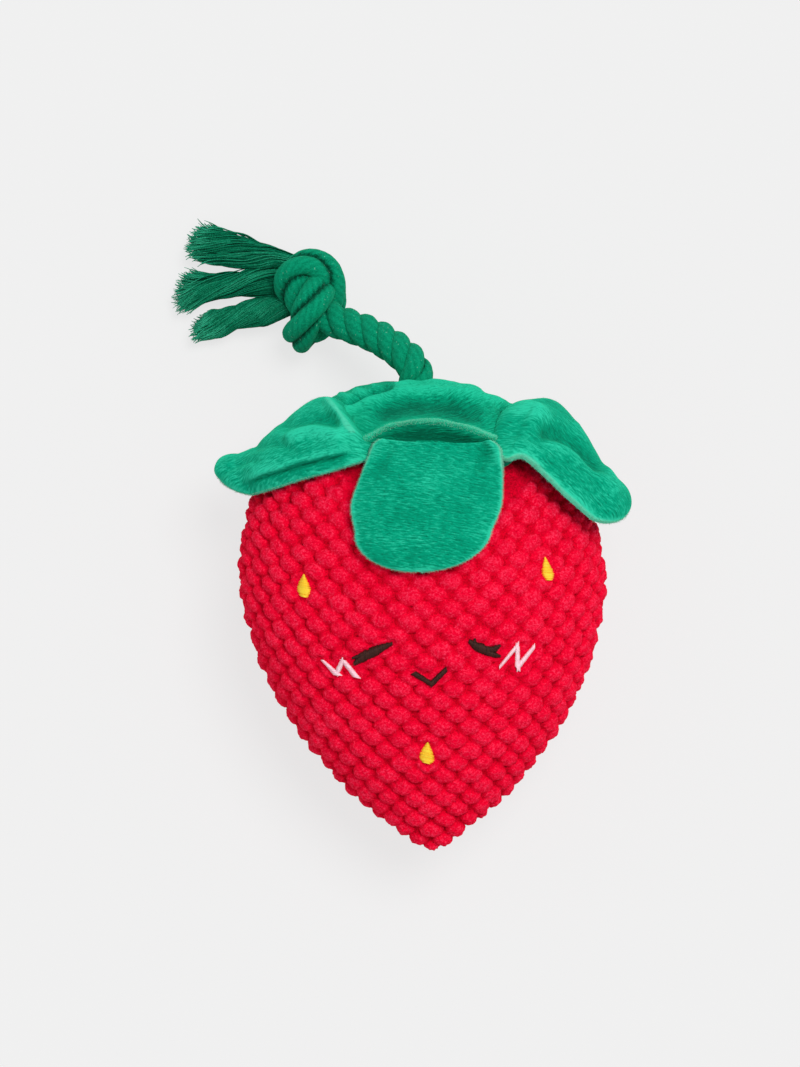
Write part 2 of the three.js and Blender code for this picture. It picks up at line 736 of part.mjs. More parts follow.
function knotRun([fromShare, toShare], outset) {
  const points = [];
  const count = 10;
  for (let i = 0; i <= count; i += 1) {
    points.push(knotCurve.getPoint(THREE.MathUtils.lerp(fromShare, toShare, i / count)));
  }
  return tube(routeCurve(points), knotRopeDiameter / 2 + outset, 8, 8);
}
const knotMiddle = new THREE.Vector3();
knotRoute.forEach(([x, y, z]) => knotMiddle.add(new THREE.Vector3(x, y, z).divideScalar(knotRoute.length)));

// The whole knot, or the room that it takes when grown by outset
function knotted(outset) {
  const heart = alongY(new THREE.SphereGeometry(knotHeartRadius + outset, 10, 6), knotMiddle);
  return knotRunShares.reduce((joined, runShares) => joined.add(knotRun(runShares, outset)), heart);
}
const stemEnd = stemCurve.getPoint(1).addScaledVector(stemCurve.getTangent(1), restGap);
const stemSpaceCurve = routeCurve([...stemCurve.points, stemEnd]);
const stemSpace = tube(stemSpaceCurve, ropeDiameter / 2 + restGap, stemSides, stemSteps);
add('rope_stem', stem, greenRope);
add('rope_knot', knotted(0).subtract(stemSpace), greenRope);

// Tassels: flattened bundles of yarn that fan out from the knot, lying on the table.
// Their shares are of the rope's diameter in the knot: the root's place from the knot's middle, the tip's
// fall below the root, the widths at root and tip, and the bow to one side.
const tassels = [
  {
    name: 'tassel_upper',
    fan: 162 * degree,
    rootShares: [-0.9, 0.85, -0.2],
    fallShare: 0.49,
    widthShares: [0.85, 1.38],
    bowShare: 0.13
  },
  {
    name: 'tassel_middle',
    fan: 181 * degree,
    rootShares: [-1.1, 0.15, -0.44],
    fallShare: 0.3,
    widthShares: [0.7, 1.53],
    bowShare: -0.06
  },
  {
    name: 'tassel_lower',
    fan: 191 * degree,
    rootShares: [-0.8, -0.55, -0.5],
    fallShare: 0.26,
    widthShares: [0.77, 1.1],
    bowShare: -0.15
  }
];

function tassel({ fan, rootShares, fallShare, widthShares, bowShare }) {
  const start = new THREE.Vector3(...rootShares).multiplyScalar(knotRopeDiameter).add(knotMiddle);
  const run = new THREE.Vector3(tasselLength * Math.cos(fan), tasselLength * Math.sin(fan), 0);
  run.z = -fallShare * knotRopeDiameter;
  const side = new THREE.Vector3(run.y, -run.x, 0).normalize();
  const steps = 5;
  const sections = [];
  for (let i = 0; i <= steps; i += 1) {
    const along = i / steps;
    const centre = start.clone().addScaledVector(run, along);
    centre.addScaledVector(side, bowShare * knotRopeDiameter * Math.sin(along * Math.PI));
    const half = (THREE.MathUtils.lerp(...widthShares, along ** 1.3) * knotRopeDiameter) / 2;
    const thick = (tasselThickness * THREE.MathUtils.lerp(1, 0.7, along)) / 2;
    centre.z = Math.max(centre.z, thick + restGap);
    const ring = [];
    const sides = 12;
    for (let k = 0; k < sides; k += 1) {
      const turn = (k / sides) * 2 * Math.PI;
      const furrow = k % 2 === 0 ? 1 : 0.88;
      const point = centre.clone().addScaledVector(side, -half * furrow * Math.cos(turn));
      point.z += thick * furrow * Math.sin(turn);
      ring.push(point);
    }
    sections.push(ring);
  }
  return loft(sections);
}
const knotSpace = knotted(restGap);
tassels.forEach((bundle) => {
  add(bundle.name, tassel(bundle).subtract(knotSpace), greenYarn);
});

export default toy;
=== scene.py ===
# A stuffed plush strawberry with a leafy cap and a knotted rope stem, lying on its back, seen from above.
# Lengths are in metres unless a name says otherwise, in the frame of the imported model: +Z up from the table,
# +Y towards the leafy cap.
import json
import math

import bpy
import numpy as np
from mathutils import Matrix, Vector, noise


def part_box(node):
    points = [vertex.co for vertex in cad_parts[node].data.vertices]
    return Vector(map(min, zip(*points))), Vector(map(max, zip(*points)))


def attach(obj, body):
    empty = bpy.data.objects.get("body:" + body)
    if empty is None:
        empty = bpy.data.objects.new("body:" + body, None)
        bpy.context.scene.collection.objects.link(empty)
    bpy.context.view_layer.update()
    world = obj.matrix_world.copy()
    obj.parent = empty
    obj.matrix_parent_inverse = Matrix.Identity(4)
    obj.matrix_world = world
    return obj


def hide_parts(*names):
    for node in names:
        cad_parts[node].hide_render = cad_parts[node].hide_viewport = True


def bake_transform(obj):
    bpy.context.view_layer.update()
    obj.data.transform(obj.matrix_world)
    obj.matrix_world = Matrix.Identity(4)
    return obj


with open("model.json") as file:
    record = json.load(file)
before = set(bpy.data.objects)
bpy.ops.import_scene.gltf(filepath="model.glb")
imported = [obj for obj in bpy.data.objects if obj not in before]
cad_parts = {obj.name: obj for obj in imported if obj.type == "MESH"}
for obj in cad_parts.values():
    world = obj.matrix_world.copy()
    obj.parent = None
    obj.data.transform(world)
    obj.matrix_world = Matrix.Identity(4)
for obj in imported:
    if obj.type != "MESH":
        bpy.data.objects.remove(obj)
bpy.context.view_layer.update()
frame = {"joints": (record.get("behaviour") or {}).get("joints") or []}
random = np.random.default_rng(7)

# The photograph: its size, the length that a pixel spans on the toy, and the pixel above the frame's origin
PHOTO_SIZE = (800, 1067)
PIXEL = 0.00032
ORIGIN_PIXEL = (423.5, 613.5)

# Stuffed body
BODY_HALF_WIDTH = 0.0566
BODY_HALF_DEPTH = 0.036
CROWN_LENGTH = 0.058
TIP_LENGTH = 0.087
WIDEST_ROW_Y = 0.0128
BODY_CENTRE_Z = 0.0355
LEAN_SHARE = 0.035
TIP_TAPER_POWER = 1.9
TIP_BLUNT_POWER = 0.85
SKIN_THICKNESS = 0.0025

# Popcorn plush: bobbles set like bricks, in rows that rise a little towards both sides
BOBBLE_WIDTH = 0.0087
BOBBLE_ROW_PITCH = 0.0043
BOBBLE_HEIGHT = 0.0024
BOBBLE_HALF_WIDTH = 0.004
BOBBLE_HALF_LENGTH = 0.0032
BOBBLE_ROW_RISE = 2.8
BOBBLE_STRAY = (0.0004, 0.0003)
BOBBLE_SIZE_SPREAD = 0.12
BOBBLE_BLUNTNESS = 0.62
PRESSED_HEIGHT = 0.0011
SEAM_HALF_WIDTH = 0.0008
SEAM_DEPTH = 0.0003
PANEL_ROWS = 372
PANEL_COLUMNS = 228
LINING_COLUMNS = 40
PLUSH_CRINKLES = ((0.0017, 0.0004, 0.0), (0.0008, 0.00032, 9.0))

# Leafy cap
DISC_HALF_WIDTH = 0.031
DISC_HALF_DEPTH = 0.0245
DISC_THICKNESS = 0.0034
ROPE_HOLE_RADIUS = 0.0061
DRAPE_GAP = 0.00045
PILE_LENGTH = 0.0011
PILE_RADIUS = 0.00005

# Rope
ROPE_DIAMETER = 0.011
KNOT_ROPE_DIAMETER = 0.0111
STEM_LAY_LENGTH = 0.0208
KNOT_LAY_LENGTH = 0.045
STRAND_YARN_LAY_LENGTH = 0.0016
LOOSE_YARN_LAY_LENGTH = 0.01
TASSEL_THICKNESS = 0.008
YARN_RADIUS = 0.0002

# Embroidery thread
THREAD_RADIUS = 0.00016
STITCH_RISE = 0.0013
STITCH_PITCH = 1.35 * THREAD_RADIUS
STITCH_POINTS = 7
STITCH_ROOT_DEPTH = 0.0003
STITCH_REACH = (0.9, 1.12)


# Mesh helpers

def on_photo(pixels):
    """Places on the toy, seen from above, of pixels of the photograph."""
    pixels = np.asarray(pixels, float)
    return np.stack([pixels[..., 0] - ORIGIN_PIXEL[0], ORIGIN_PIXEL[1] - pixels[..., 1]], -1) * PIXEL


def step_between(low, high, value):
    """0 below low, 1 above high, and a smooth rise between them."""
    share = np.clip((value - low) / (high - low), 0, 1)
    return share * share * (3 - 2 * share)


def peak(value, middle, width):
    """1 at middle, falling smoothly to 0 within about two widths of it."""
    return np.exp(-((value - middle) / width) ** 2)


def unit(vectors):
    """The vectors' directions."""
    return vectors / np.maximum(np.linalg.norm(vectors, axis=-1, keepdims=True), 1e-12)


def lumps(points, *layers):
    """Heights of smooth noise at points; each layer is (size of its lumps, height, seed)."""
    heights = 0
    for size, height, seed in layers:
        scaled = (points / size + seed).tolist()
        heights = heights + height * np.array([noise.noise(place) for place in scaled])
    return heights


def full_turn(count):
    """Angles of even steps round a circle."""
    return np.arange(count) / count * 2 * np.pi


def spokes(side, over, count):
    """Ways of even steps round each place, from its side towards its over."""
    turns = full_turn(count)[:, None]
    return side[:, None] * np.cos(turns) + over[:, None] * np.sin(turns)


def arc_lengths(line):
    """Distances along a line of points, from its first point."""
    return np.concatenate([[0], np.cumsum(np.linalg.norm(np.diff(line, axis=0), axis=1))])


def grid_quads(rows, columns):
    """Quads of a tube of points that are counted ring by ring."""
    row, column = np.meshgrid(np.arange(rows - 1), np.arange(columns), indexing="ij")
    low, high = row * columns, (row + 1) * columns
    after = (column + 1) % columns
    corners = [low + column, low + after, high + after, high + column]
    return np.stack([corner.ravel() for corner in corners], -1)


def end_caps(rows, columns, first=0):
    """Faces that close both ends of a tube whose points are counted from first."""
    last = first + (rows - 1) * columns
    return [list(range(first, first + columns))[::-1], list(range(last, last + columns))]


def tube_map(rows, columns, across, along):
    """Map coordinates of the corners of a tube's faces, from 0 to across round it and from 0 to along."""
    row, column = np.meshgrid(np.arange(rows - 1), np.arange(columns), indexing="ij")
    low, high = row / (rows - 1), (row + 1) / (rows - 1)
    left, right = column / columns, (column + 1) / columns
    corners = [(left, low), (right, low), (right, high), (left, high)]
    quads = np.stack([np.stack([u.ravel(), v.ravel()], -1) for u, v in corners], 1)
    return np.concatenate([quads.reshape(-1, 2) * (across, along), np.zeros((2 * columns, 2))])


def new_object(name, data):
    """A new object in the scene."""
    made = bpy.data.objects.new(name, data)
    bpy.context.scene.collection.objects.link(made)
    return made


def make_piece(name, points, faces, material, body, replaced, slot, maps=None, **levels):
    """A smooth mesh piece that rides on a body. levels are named values per point, for its material."""
    mesh = bpy.data.meshes.new(name)
    mesh.from_pydata(points.tolist(), [], faces)
    mesh.polygons.foreach_set("use_smooth", [True] * len(mesh.polygons))
    if maps is not None:
        layer = mesh.uv_layers.new(name="yarn")
        layer.uv.foreach_set("vector", maps.astype(np.float32).ravel())
    for level, values in levels.items():
        mesh.attributes.new(level, "FLOAT", "POINT").data.foreach_set("value", values.astype(np.float32))
    mesh.update()
    mesh.materials.append(material)
    piece = new_object(name, mesh)
    if body:
        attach(piece, body)
    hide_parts(*replaced)
    return piece


class Tubes:
    """Many thin tubes gathered in one mesh."""

    def __init__(self, sides):
        self.sides = sides
        self.count = 0
        self.points, self.faces, self.maps, self.tones = [], [], [], []

    def add(self, path, radii, tone):
        """A closed tube along path, with a radius at each of its points."""
        tangents = unit(np.gradient(path, axis=0))
        side = unit(np.cross(tangents, [0.0, 0.0, 1.0]))
        points = path[:, None] + spokes(side, np.cross(side, tangents), self.sides) * radii[:, None, None]
        rows = len(path)
        self.points.append(points.reshape(-1, 3))
        self.faces += (grid_quads(rows, self.sides) + self.count).tolist()
        self.faces += end_caps(rows, self.sides, self.count)
        self.maps.append(tube_map(rows, self.sides, 1, arc_lengths(path)[-1] / LOOSE_YARN_LAY_LENGTH))
        self.tones.append(np.repeat(np.broadcast_to(tone, rows), self.sides))
        self.count += rows * self.sides

    def piece(self, name, material, body, replaced, slot):
        """All the tubes as one piece."""
        points, maps, tones = (np.concatenate(parts) for parts in (self.points, self.maps, self.tones))
        return make_piece(name, points, self.faces, material, body, replaced, slot, maps, tone=tones)


# Materials

class Nodes:
    """A material's node tree, built one node at a time."""

    def __init__(self, name, **shader):
        self.material = bpy.data.materials.new(name)
        self.material.use_nodes = True
        self.tree = self.material.node_tree
        self.tree.nodes.clear()
        self.output = self.tree.nodes.new("ShaderNodeOutputMaterial")
        self.shader = self.add("ShaderNodeBsdfPrincipled", shader)
        self.tree.links.new(self.shader.outputs[0], self.output.inputs["Surface"])
        self.place = self.add("ShaderNodeTexCoord").outputs["Object"]

    def add(self, kind, inputs=None, **settings):
        """A node with its settings and what goes into its inputs."""
        made = self.tree.nodes.new(kind)
        for name, value in settings.items():
            setattr(made, name, value)
        for name, value in (inputs or {}).items():
            self.set(made.inputs[name], value)
        return made

    def set(self, socket, value):
        """Link a socket to an output, or give it a value."""
        if isinstance(value, bpy.types.NodeSocket):
            self.tree.links.new(value, socket)
        else:
            socket.default_value = value

    def noise(self, size, detail=2.0, stretch=(1, 1, 1), roughness=0.5, place=None, distortion=0.0):
        """Noise with lumps of about that size, stretched along the axes."""
        scale = tuple(1 / (size * share) for share in stretch)
        mapping = self.add("ShaderNodeMapping", {"Vector": place or self.place, "Scale": scale})
        inputs = {"Vector": mapping.outputs[0], "Scale": 1.0, "Detail": detail, "Roughness": roughness,
                  "Distortion": distortion}
        return self.add("ShaderNodeTexNoise", inputs).outputs["Fac"]

    def level(self, name):
        """A named value of the mesh's points."""
        return self.add("ShaderNodeAttribute", attribute_name=name).outputs["Fac"]

    def ramp(self, value, *stops):
        """Colours along a value; each stop is (place, colour)."""
        made = self.add("ShaderNodeValToRGB", {"Fac": value})
        elements = made.color_ramp.elements
        while len(elements) < len(stops):
            elements.new(1.0)
        for element, (place, colour) in zip(elements, stops):
            element.position = place
            element.color = (*colour, 1)
        return made.outputs["Color"]

    def maths(self, operation, first, second=0.0, third=0.0, clamp=False):
        """The result of an operation on up to three values."""
        made = self.add("ShaderNodeMath", operation=operation, use_clamp=clamp)
        for socket, value in zip(made.inputs, (first, second, third)):
            self.set(socket, value)
        return made.outputs[0]

    def weighed(self, total, *parts):
        """A total plus each part's value times its weight."""
        for value, weight in parts:
            total = self.maths("MULTIPLY_ADD", value, weight, total)
        return total

    def mix(self, share, first, second):
        """A share of the second colour mixed into the first."""
        made = self.add("ShaderNodeMix", data_type="RGBA")
        for socket, value in ((made.inputs[0], share), (made.inputs[6], first), (made.inputs[7], second)):
            self.set(socket, (*value, 1) if isinstance(value, tuple) else value)
        return made.outputs[2]

    def bump(self, height, distance, strength=1.0, normal=None):
        """Relief from a height, over another relief if there is one."""
        inputs = {"Height": height, "Distance": distance, "Strength": strength}
        if normal:
            inputs["Normal"] = normal
        return self.add("ShaderNodeBump", inputs).outputs[0]

    def finish(self, colour, normal=None):
        """The material, with its colour and relief."""
        self.set(self.shader.inputs["Base Color"], colour)
        if normal:
            self.set(self.shader.inputs["Normal"], normal)
        return self.material


def srgb(red, green, blue):
    """A colour as the renderer mixes it, from its 0 to 255 values on a screen."""
    def channel(value):
        value /= 255
        return value / 12.92 if value <= 0.04045 else ((value + 0.055) / 1.055) ** 2.4
    return channel(red), channel(green), channel(blue)


def soft_shader(sheen, tint):
    """Settings of a rough cloth with a sheen on its pile."""
    return {"Roughness": 0.95, "Specular IOR Level": 0.06, "Sheen Weight": sheen, "Sheen Roughness": 0.4,
            "Sheen Tint": (*tint, 1)}


# Sizes of what the materials' noise draws, and depths of their relief
CURL_SIZE = 0.00062
CURL_DEPTH = 0.0005
CLUMP_SIZE = 0.0016
STREAK_SIZE = 0.00045
STREAK_DEPTH = 0.0006
TUFT_DEPTH = 0.00025
PATCH_SIZE = 0.009
WOBBLE_SIZE = 0.0015
LINT_SIZE = 0.00045
FLECK_SIZE = 0.0006
YARN_DEPTH = 0.0004
PLY_SIZE = 0.00025
PLY_DEPTH = 0.00008
GRAIN_SIZE = 0.0006
GRAIN_DEPTH = 0.00005
TANGLE_SIZE = 0.0012
TANGLE_DEPTH = 0.0015


def popcorn_plush():
    """Red pile, crinkled, with painted shade: deep red between the bobbles and pinker on top of them."""
    nodes = Nodes("popcorn_plush", **soft_shader(0.12, srgb(255, 30, 70)))
    curls = nodes.noise(CURL_SIZE, roughness=0.6, distortion=0.8)
    clumps = nodes.noise(CLUMP_SIZE)
    # Painted shade: the bobbles' height darkens the colour in the creases between them and lightens their tops
    domed = nodes.maths("MULTIPLY", nodes.level("bobble_shade"), 1.4, clamp=True)
    light = nodes.weighed(-0.86, (domed, 0.5), (curls, 1.8), (clumps, 0.3), (nodes.level("tone"), 0.04))
    colour = nodes.ramp(
        light,
        (0.0, srgb(184, 0, 28)),
        (0.3, srgb(222, 0, 40)),
        (0.66, srgb(244, 0, 50)),
        (1.0, srgb(255, 54, 90)),
    )
    return nodes.finish(colour, nodes.bump(curls, CURL_DEPTH, 0.8))


def short_pile(name, dark, middle, light):
    """Green pile brushed in short wavy streaks, with painted shade in its creases and painted highlights on
    its crests and rims.
    """
    nodes = Nodes(name, **soft_shader(0.55, srgb(40, 205, 155)))
    nap = nodes.level("nap")
    inputs = {"X": nodes.level("streak"), "Y": nodes.level("nap_line")}
    place = nodes.add("ShaderNodeCombineXYZ", inputs).outputs[0]
    waves = nodes.noise(STREAK_SIZE, detail=1.5, stretch=(5.5, 1, 1), place=place, distortion=0.5)
    tufts = nodes.noise(STREAK_SIZE, detail=1.5, stretch=(1.5, 1, 1), roughness=0.6, place=place)
    patches = nodes.noise(PATCH_SIZE, stretch=(1.6, 1, 1), place=place)
    # Painted light: this level darkens creases and pales crests, rims and fibres
    shade = nodes.weighed(-0.77, (waves, 1.3), (patches, 0.7), (tufts, 0.5), (nap, 0.45))
    colour = nodes.ramp(shade, (0.0, dark), (0.5, middle), (0.95, light))
    # Painted sheen: where the painted light passes 1, on fibres, rims and the lip, the colour is mixed towards
    # pale green
    fibre_sheen = nodes.maths("SUBTRACT", nap, 1.0, clamp=True)
    colour = nodes.mix(fibre_sheen, colour, srgb(172, 238, 212))
    fine = nodes.bump(tufts, TUFT_DEPTH, 0.7)
    return nodes.finish(colour, nodes.bump(waves, STREAK_DEPTH, 0.8, normal=fine))


def yarn(name, dark, middle, light, line_count, fleck=0.0):
    """Twisted yarn: fine threads that wind round each strand, with lint on them."""
    nodes = Nodes(name, **soft_shader(0.3, srgb(60, 190, 140)))
    around = nodes.add("ShaderNodeUVMap", uv_map="yarn").outputs["UV"]
    parts = nodes.add("ShaderNodeSeparateXYZ", {"Vector": around}).outputs
    slant = nodes.weighed(parts["Y"], (parts["X"], line_count))
    turn = nodes.weighed(0.0, (nodes.noise(WOBBLE_SIZE), 7.0), (slant, 2 * math.pi))
    lint = nodes.noise(LINT_SIZE, detail=3.0, roughness=0.75)
    height = nodes.weighed(0.0, (nodes.maths("SINE", turn), 0.07), (lint, 0.9))
    # The tone level carries painted shade: the rope's grooves and the tassels' lower yarns are darker
    shade = nodes.weighed(-0.2, (nodes.level("tone"), 0.5), (height, 1.0))
    colour = nodes.ramp(shade, (0.2, dark), (0.5, middle), (0.85, light))
    if fleck:
        spots = nodes.weighed(-12.0 * fleck, (nodes.noise(FLECK_SIZE, stretch=(1, 2.2, 1)), 12.0))
        spots = nodes.maths("MINIMUM", nodes.maths("MAXIMUM", spots, 0.0), 0.5)
        colour = nodes.mix(spots, colour, srgb(160, 225, 198))
    return nodes.finish(colour, nodes.bump(height, YARN_DEPTH, 0.8))


def thread(name, dark, light):
    """Shiny embroidery thread, with painted shade where its plies turn in."""
    nodes = Nodes(name, **{"Roughness": 0.55, "Specular IOR Level": 0.2})
    plies = nodes.noise(PLY_SIZE)
    shade = nodes.weighed(plies, (nodes.level("tone"), 0.5))
    return nodes.finish(nodes.ramp(shade, (0.4, dark), (0.85, light)), nodes.bump(plies, PLY_DEPTH))


def moulded(name, colour, roughness):
    """Plain moulded plastic with a faint grain."""
    nodes = Nodes(name, **{"Roughness": roughness})
    grain = nodes.noise(GRAIN_SIZE, detail=3.0)
    dim = tuple(channel * 0.86 for channel in colour)
    return nodes.finish(nodes.ramp(grain, (0.3, dim), (0.7, colour)), nodes.bump(grain, GRAIN_DEPTH))


def fibre_fill():
    """White fibre filling, a tangle of fine strands."""
    nodes = Nodes("fibre_fill", **soft_shader(0.4, (1, 1, 1)))
    tangle = nodes.noise(TANGLE_SIZE, detail=4.0, roughness=0.7, distortion=1.5)
    colour = nodes.ramp(tangle, (0.3, srgb(205, 203, 196)), (0.7, srgb(247, 246, 242)))
    return nodes.finish(colour, nodes.bump(tangle, TANGLE_DEPTH))


RED_PLUSH = popcorn_plush()
GREEN_PLUSH = short_pile("green_plush", srgb(0, 116, 86), srgb(0, 158, 121), srgb(44, 204, 164))
DISC_PLUSH = short_pile("disc_plush", srgb(0, 102, 75), srgb(0, 154, 116), srgb(32, 194, 152))
ROPE_YARN = yarn("rope_yarn", srgb(0, 62, 42), srgb(0, 128, 92), srgb(12, 164, 122), 7.0, fleck=0.7)
TASSEL_YARN = yarn("tassel_yarn", srgb(0, 72, 48), srgb(0, 122, 86), srgb(56, 182, 142), 3.0)
SEED_THREAD = thread("seed_thread", srgb(250, 182, 20), srgb(255, 222, 64))
FACE_THREAD = thread("face_thread", srgb(26, 8, 8), srgb(66, 32, 24))
BLUSH_THREAD = thread("blush_thread", srgb(250, 168, 188), srgb(255, 224, 232))


# Camera, looking straight down

LENS = 150.0
SENSOR = 36.0
# The height at which a pixel of the photograph spans PIXEL
SILHOUETTE_Z = BODY_CENTRE_Z
CAMERA_DISTANCE = PHOTO_SIZE[1] * PIXEL * LENS / SENSOR


def make_camera():
    """A long lens over the middle of the photograph, which frames the same stretch as the photograph."""
    data = bpy.data.cameras.new("camera")
    data.lens = LENS
    data.sensor_width = SENSOR
    camera = new_object("camera", data)
    middle = on_photo((PHOTO_SIZE[0] / 2, PHOTO_SIZE[1] / 2))
    camera.location = (*middle, SILHOUETTE_Z + CAMERA_DISTANCE)
    data.clip_end = 10 * CAMERA_DISTANCE
    bpy.context.scene.camera = camera


make_camera()


def seen_at(pixel_x, pixel_y, height):
    """The place at a height in millimetres that the camera sees at a pixel of the photograph."""
    nearer = 1 - (height / 1000 - SILHOUETTE_Z) / CAMERA_DISTANCE
    middle = np.array(PHOTO_SIZE) / 2
    offset = np.array([pixel_x - middle[0], middle[1] - pixel_y]) * PIXEL * nearer
    return np.array([*(on_photo(middle) + offset), height / 1000])


def spline(points, places):
    """A smooth curve through points, at places counted in points from the first."""
    points = np.asarray(points, float)
    points = np.concatenate([[2 * points[0] - points[1]], points, [2 * points[-1] - points[-2]]])
    first = np.clip(np.floor(places).astype(int), 0, len(points) - 4)
    t = (np.asarray(places) - first)[:, None]
    a, b, c, d = (points[first + k] for k in range(4))
    slope, bend = (c - a) * t, (2 * a - 5 * b + 4 * c - d) * t ** 2
    return (2 * b + slope + bend + (3 * b - a - 3 * c + d) * t ** 3) / 2


# Rope: one three-strand rope from the crown through the overhand knot

ROPE_ROOT = np.array(next(joint for joint in frame["joints"] if joint["name"] == "rope_swing")["pos_m"])
ROPE_HIDDEN_LENGTH = 0.006
ROUTE_STEP = 0.0005
STEPS_PER_SPAN = 40

# Middle lines of the stem, from the rope's root, and of the knot
STEM_ROUTE_MM = [
    (0, 0, 0), (-0.3, 1.8, -0.2), (-1.7, 4, -1.4), (-4.4, 6.9, -3.8), (-8.4, 10, -7),
    (-13.2, 12.9, -10.6), (-18.6, 15.3, -14), (-23.8, 17.2, -17.2),
]
KNOT_ROUTE_MM = [
    (-30, 95.4, 16), (-33.2, 97.4, 13.6), (-37, 99.8, 11.6), (-40.8, 102, 12.2), (-42.8, 105.6, 14.6),
    (-42.4, 109.2, 16.6), (-39.6, 111.8, 17.4), (-36, 112.4, 17), (-32.6, 110.8, 16), (-30.6, 107.2, 14),
    (-30, 102.8, 10.6), (-31.4, 98.2, 6.8), (-34.3, 94.2, 5.4), (-37.8, 91.2, 6.4), (-39.9, 90.1, 10.4),
    (-39.8, 91.9, 15.8), (-37.9, 96, 19.6), (-35.6, 100.2, 20.3), (-34.2, 104.4, 17.4),
    (-34.8, 106.8, 12.6), (-37.6, 107, 8), (-41.4, 105.8, 5.8), (-46, 104.4, 5.2),
]


def blended(points, knots, places, span):
    """Each point blended with the next one, at places between knots that lie span knots apart."""
    return [((knots[k + span] - places) * points[k] + (places - knots[k]) * points[k + 1])
            / (knots[k + span] - knots[k]) for k in range(len(points) - 1)]


def smooth_route(points, step):
    """Places an even step apart on a centripetal curve through the points, and their distances along it."""
    points = np.asarray(points, float)
    points = np.concatenate([[2 * points[0] - points[1]], points, [2 * points[-1] - points[-2]]])
    fine = []
    for i in range(len(points) - 3):
        near = points[i:i + 4]
        knots = np.concatenate([[0], np.cumsum(np.linalg.norm(np.diff(near, axis=0), axis=1) ** 0.5)])
        places = np.linspace(knots[1], knots[2], STEPS_PER_SPAN, endpoint=False)[:, None]
        curves = blended(blended(near, knots, places, 1), knots, places, 2)
        fine += blended(curves, knots[1:], places, 1)
    fine = np.concatenate([*fine, points[-2:-1]])
    lengths = arc_lengths(fine)
    places = np.linspace(0, lengths[-1], round(lengths[-1] / step) + 1)
    return np.stack([np.interp(places, lengths, fine[:, axis]) for axis in range(3)], -1), places


def carried_frames(path):
    """Tangents, and two directions across the path that don't spin about it."""
    tangents = unit(np.gradient(path, axis=0))
    normal = unit(np.cross(tangents[0], [0.0, 0.0, 1.0]))
    normals = []
    for tangent in tangents:
        normal = unit(normal - tangent * (normal @ tangent))
        normals.append(normal)
    normals = np.array(normals)
    return tangents, normals, np.cross(tangents, normals)


STRANDS = 3
STRAND_SIDES = 22
STRAND_TURN = 0.2
STRAND_OFFSET_SHARE = 0.49
STRAND_RADIUS_SHARE = 0.545
STRAND_SECTION = (0.98, 1.04)
LAY_CHANGES = (-0.004, 0.008)
NARROWED_LENGTH = 0.008
NARROWED_SHARE = 0.25
STRAND_TONE = 0.72
GROOVE_SHADE_DROP = 0.85
INNER_DEGREES = (58, 100)
STRAND_LUMPS = ((0.0014, 0.0001, 3.1), (0.004, 0.00012, 1.0))


def make_rope():
    """The strands of the rope laid round one route; gives the piece, the route and its length."""
    root = ROPE_ROOT - np.array([0, ROPE_HIDDEN_LENGTH, 0])
    stem_route = [root, *(ROPE_ROOT + np.array(STEM_ROUTE_MM) / 1000)]
    knot_route = np.array(KNOT_ROUTE_MM) / 1000
    path, places = smooth_route([*stem_route, *knot_route], ROUTE_STEP)
    length = places[-1]
    tangents, normals, binormals = carried_frames(path)
    stem_length = smooth_route([*stem_route, knot_route[0]], ROUTE_STEP)[1][-1]
    in_knot = step_between(*LAY_CHANGES, places - stem_length)
    lay = STEM_LAY_LENGTH + (KNOT_LAY_LENGTH - STEM_LAY_LENGTH) * in_knot
    radius = (ROPE_DIAMETER + (KNOT_ROPE_DIAMETER - ROPE_DIAMETER) * in_knot) / 2
    radius = radius * (1 - NARROWED_SHARE * step_between(length - NARROWED_LENGTH, length, places))
    phase = np.concatenate([[0], np.cumsum(2 * np.pi * np.diff(places) / lay[1:])])
    offset = radius * STRAND_OFFSET_SHARE
    tilt = np.arctan(2 * np.pi * offset / lay)[:, None]
    points, faces, maps, count = [], [], [], 0
    for number in range(STRANDS):
        angle = phase + number * 2 * np.pi / STRANDS + STRAND_TURN
        outward = normals * np.cos(angle)[:, None] + binormals * np.sin(angle)[:, None]
        across = np.cross(tangents, outward) * np.cos(tilt) - tangents * np.sin(tilt)
        centre = path + outward * offset[:, None]
        ring = spokes(outward * STRAND_SECTION[0], across * STRAND_SECTION[1], STRAND_SIDES)
        ring = centre[:, None] + ring * (radius * STRAND_RADIUS_SHARE)[:, None, None]
        flat = ring.reshape(-1, 3)
        rise = lumps(flat, *[(size, height, number * seed) for size, height, seed in STRAND_LUMPS])
        flat = flat + unit(flat - np.repeat(centre, STRAND_SIDES, axis=0)) * rise[:, None]
        points.append(flat)
        faces += (grid_quads(len(path), STRAND_SIDES) + count).tolist()
        faces += end_caps(len(path), STRAND_SIDES, count)
        maps.append(tube_map(len(path), STRAND_SIDES, 1, length / STRAND_YARN_LAY_LENGTH))
        count += len(flat)
    # Painted shade: strands are coloured darker where they turn in towards each other
    facing = np.degrees(np.abs((full_turn(STRAND_SIDES) + np.pi) % (2 * np.pi) - np.pi))
    tone = STRAND_TONE - GROOVE_SHADE_DROP * step_between(*INNER_DEGREES, facing)
    tone = np.tile(tone, STRANDS * len(path))
    made = make_piece("rope", np.concatenate(points), faces, ROPE_YARN, "rope", ("rope_stem", "rope_knot"),
                      "green_rope", np.concatenate(maps), tone=tone)
    return made, path, length


rope, rope_path, rope_length = make_rope()

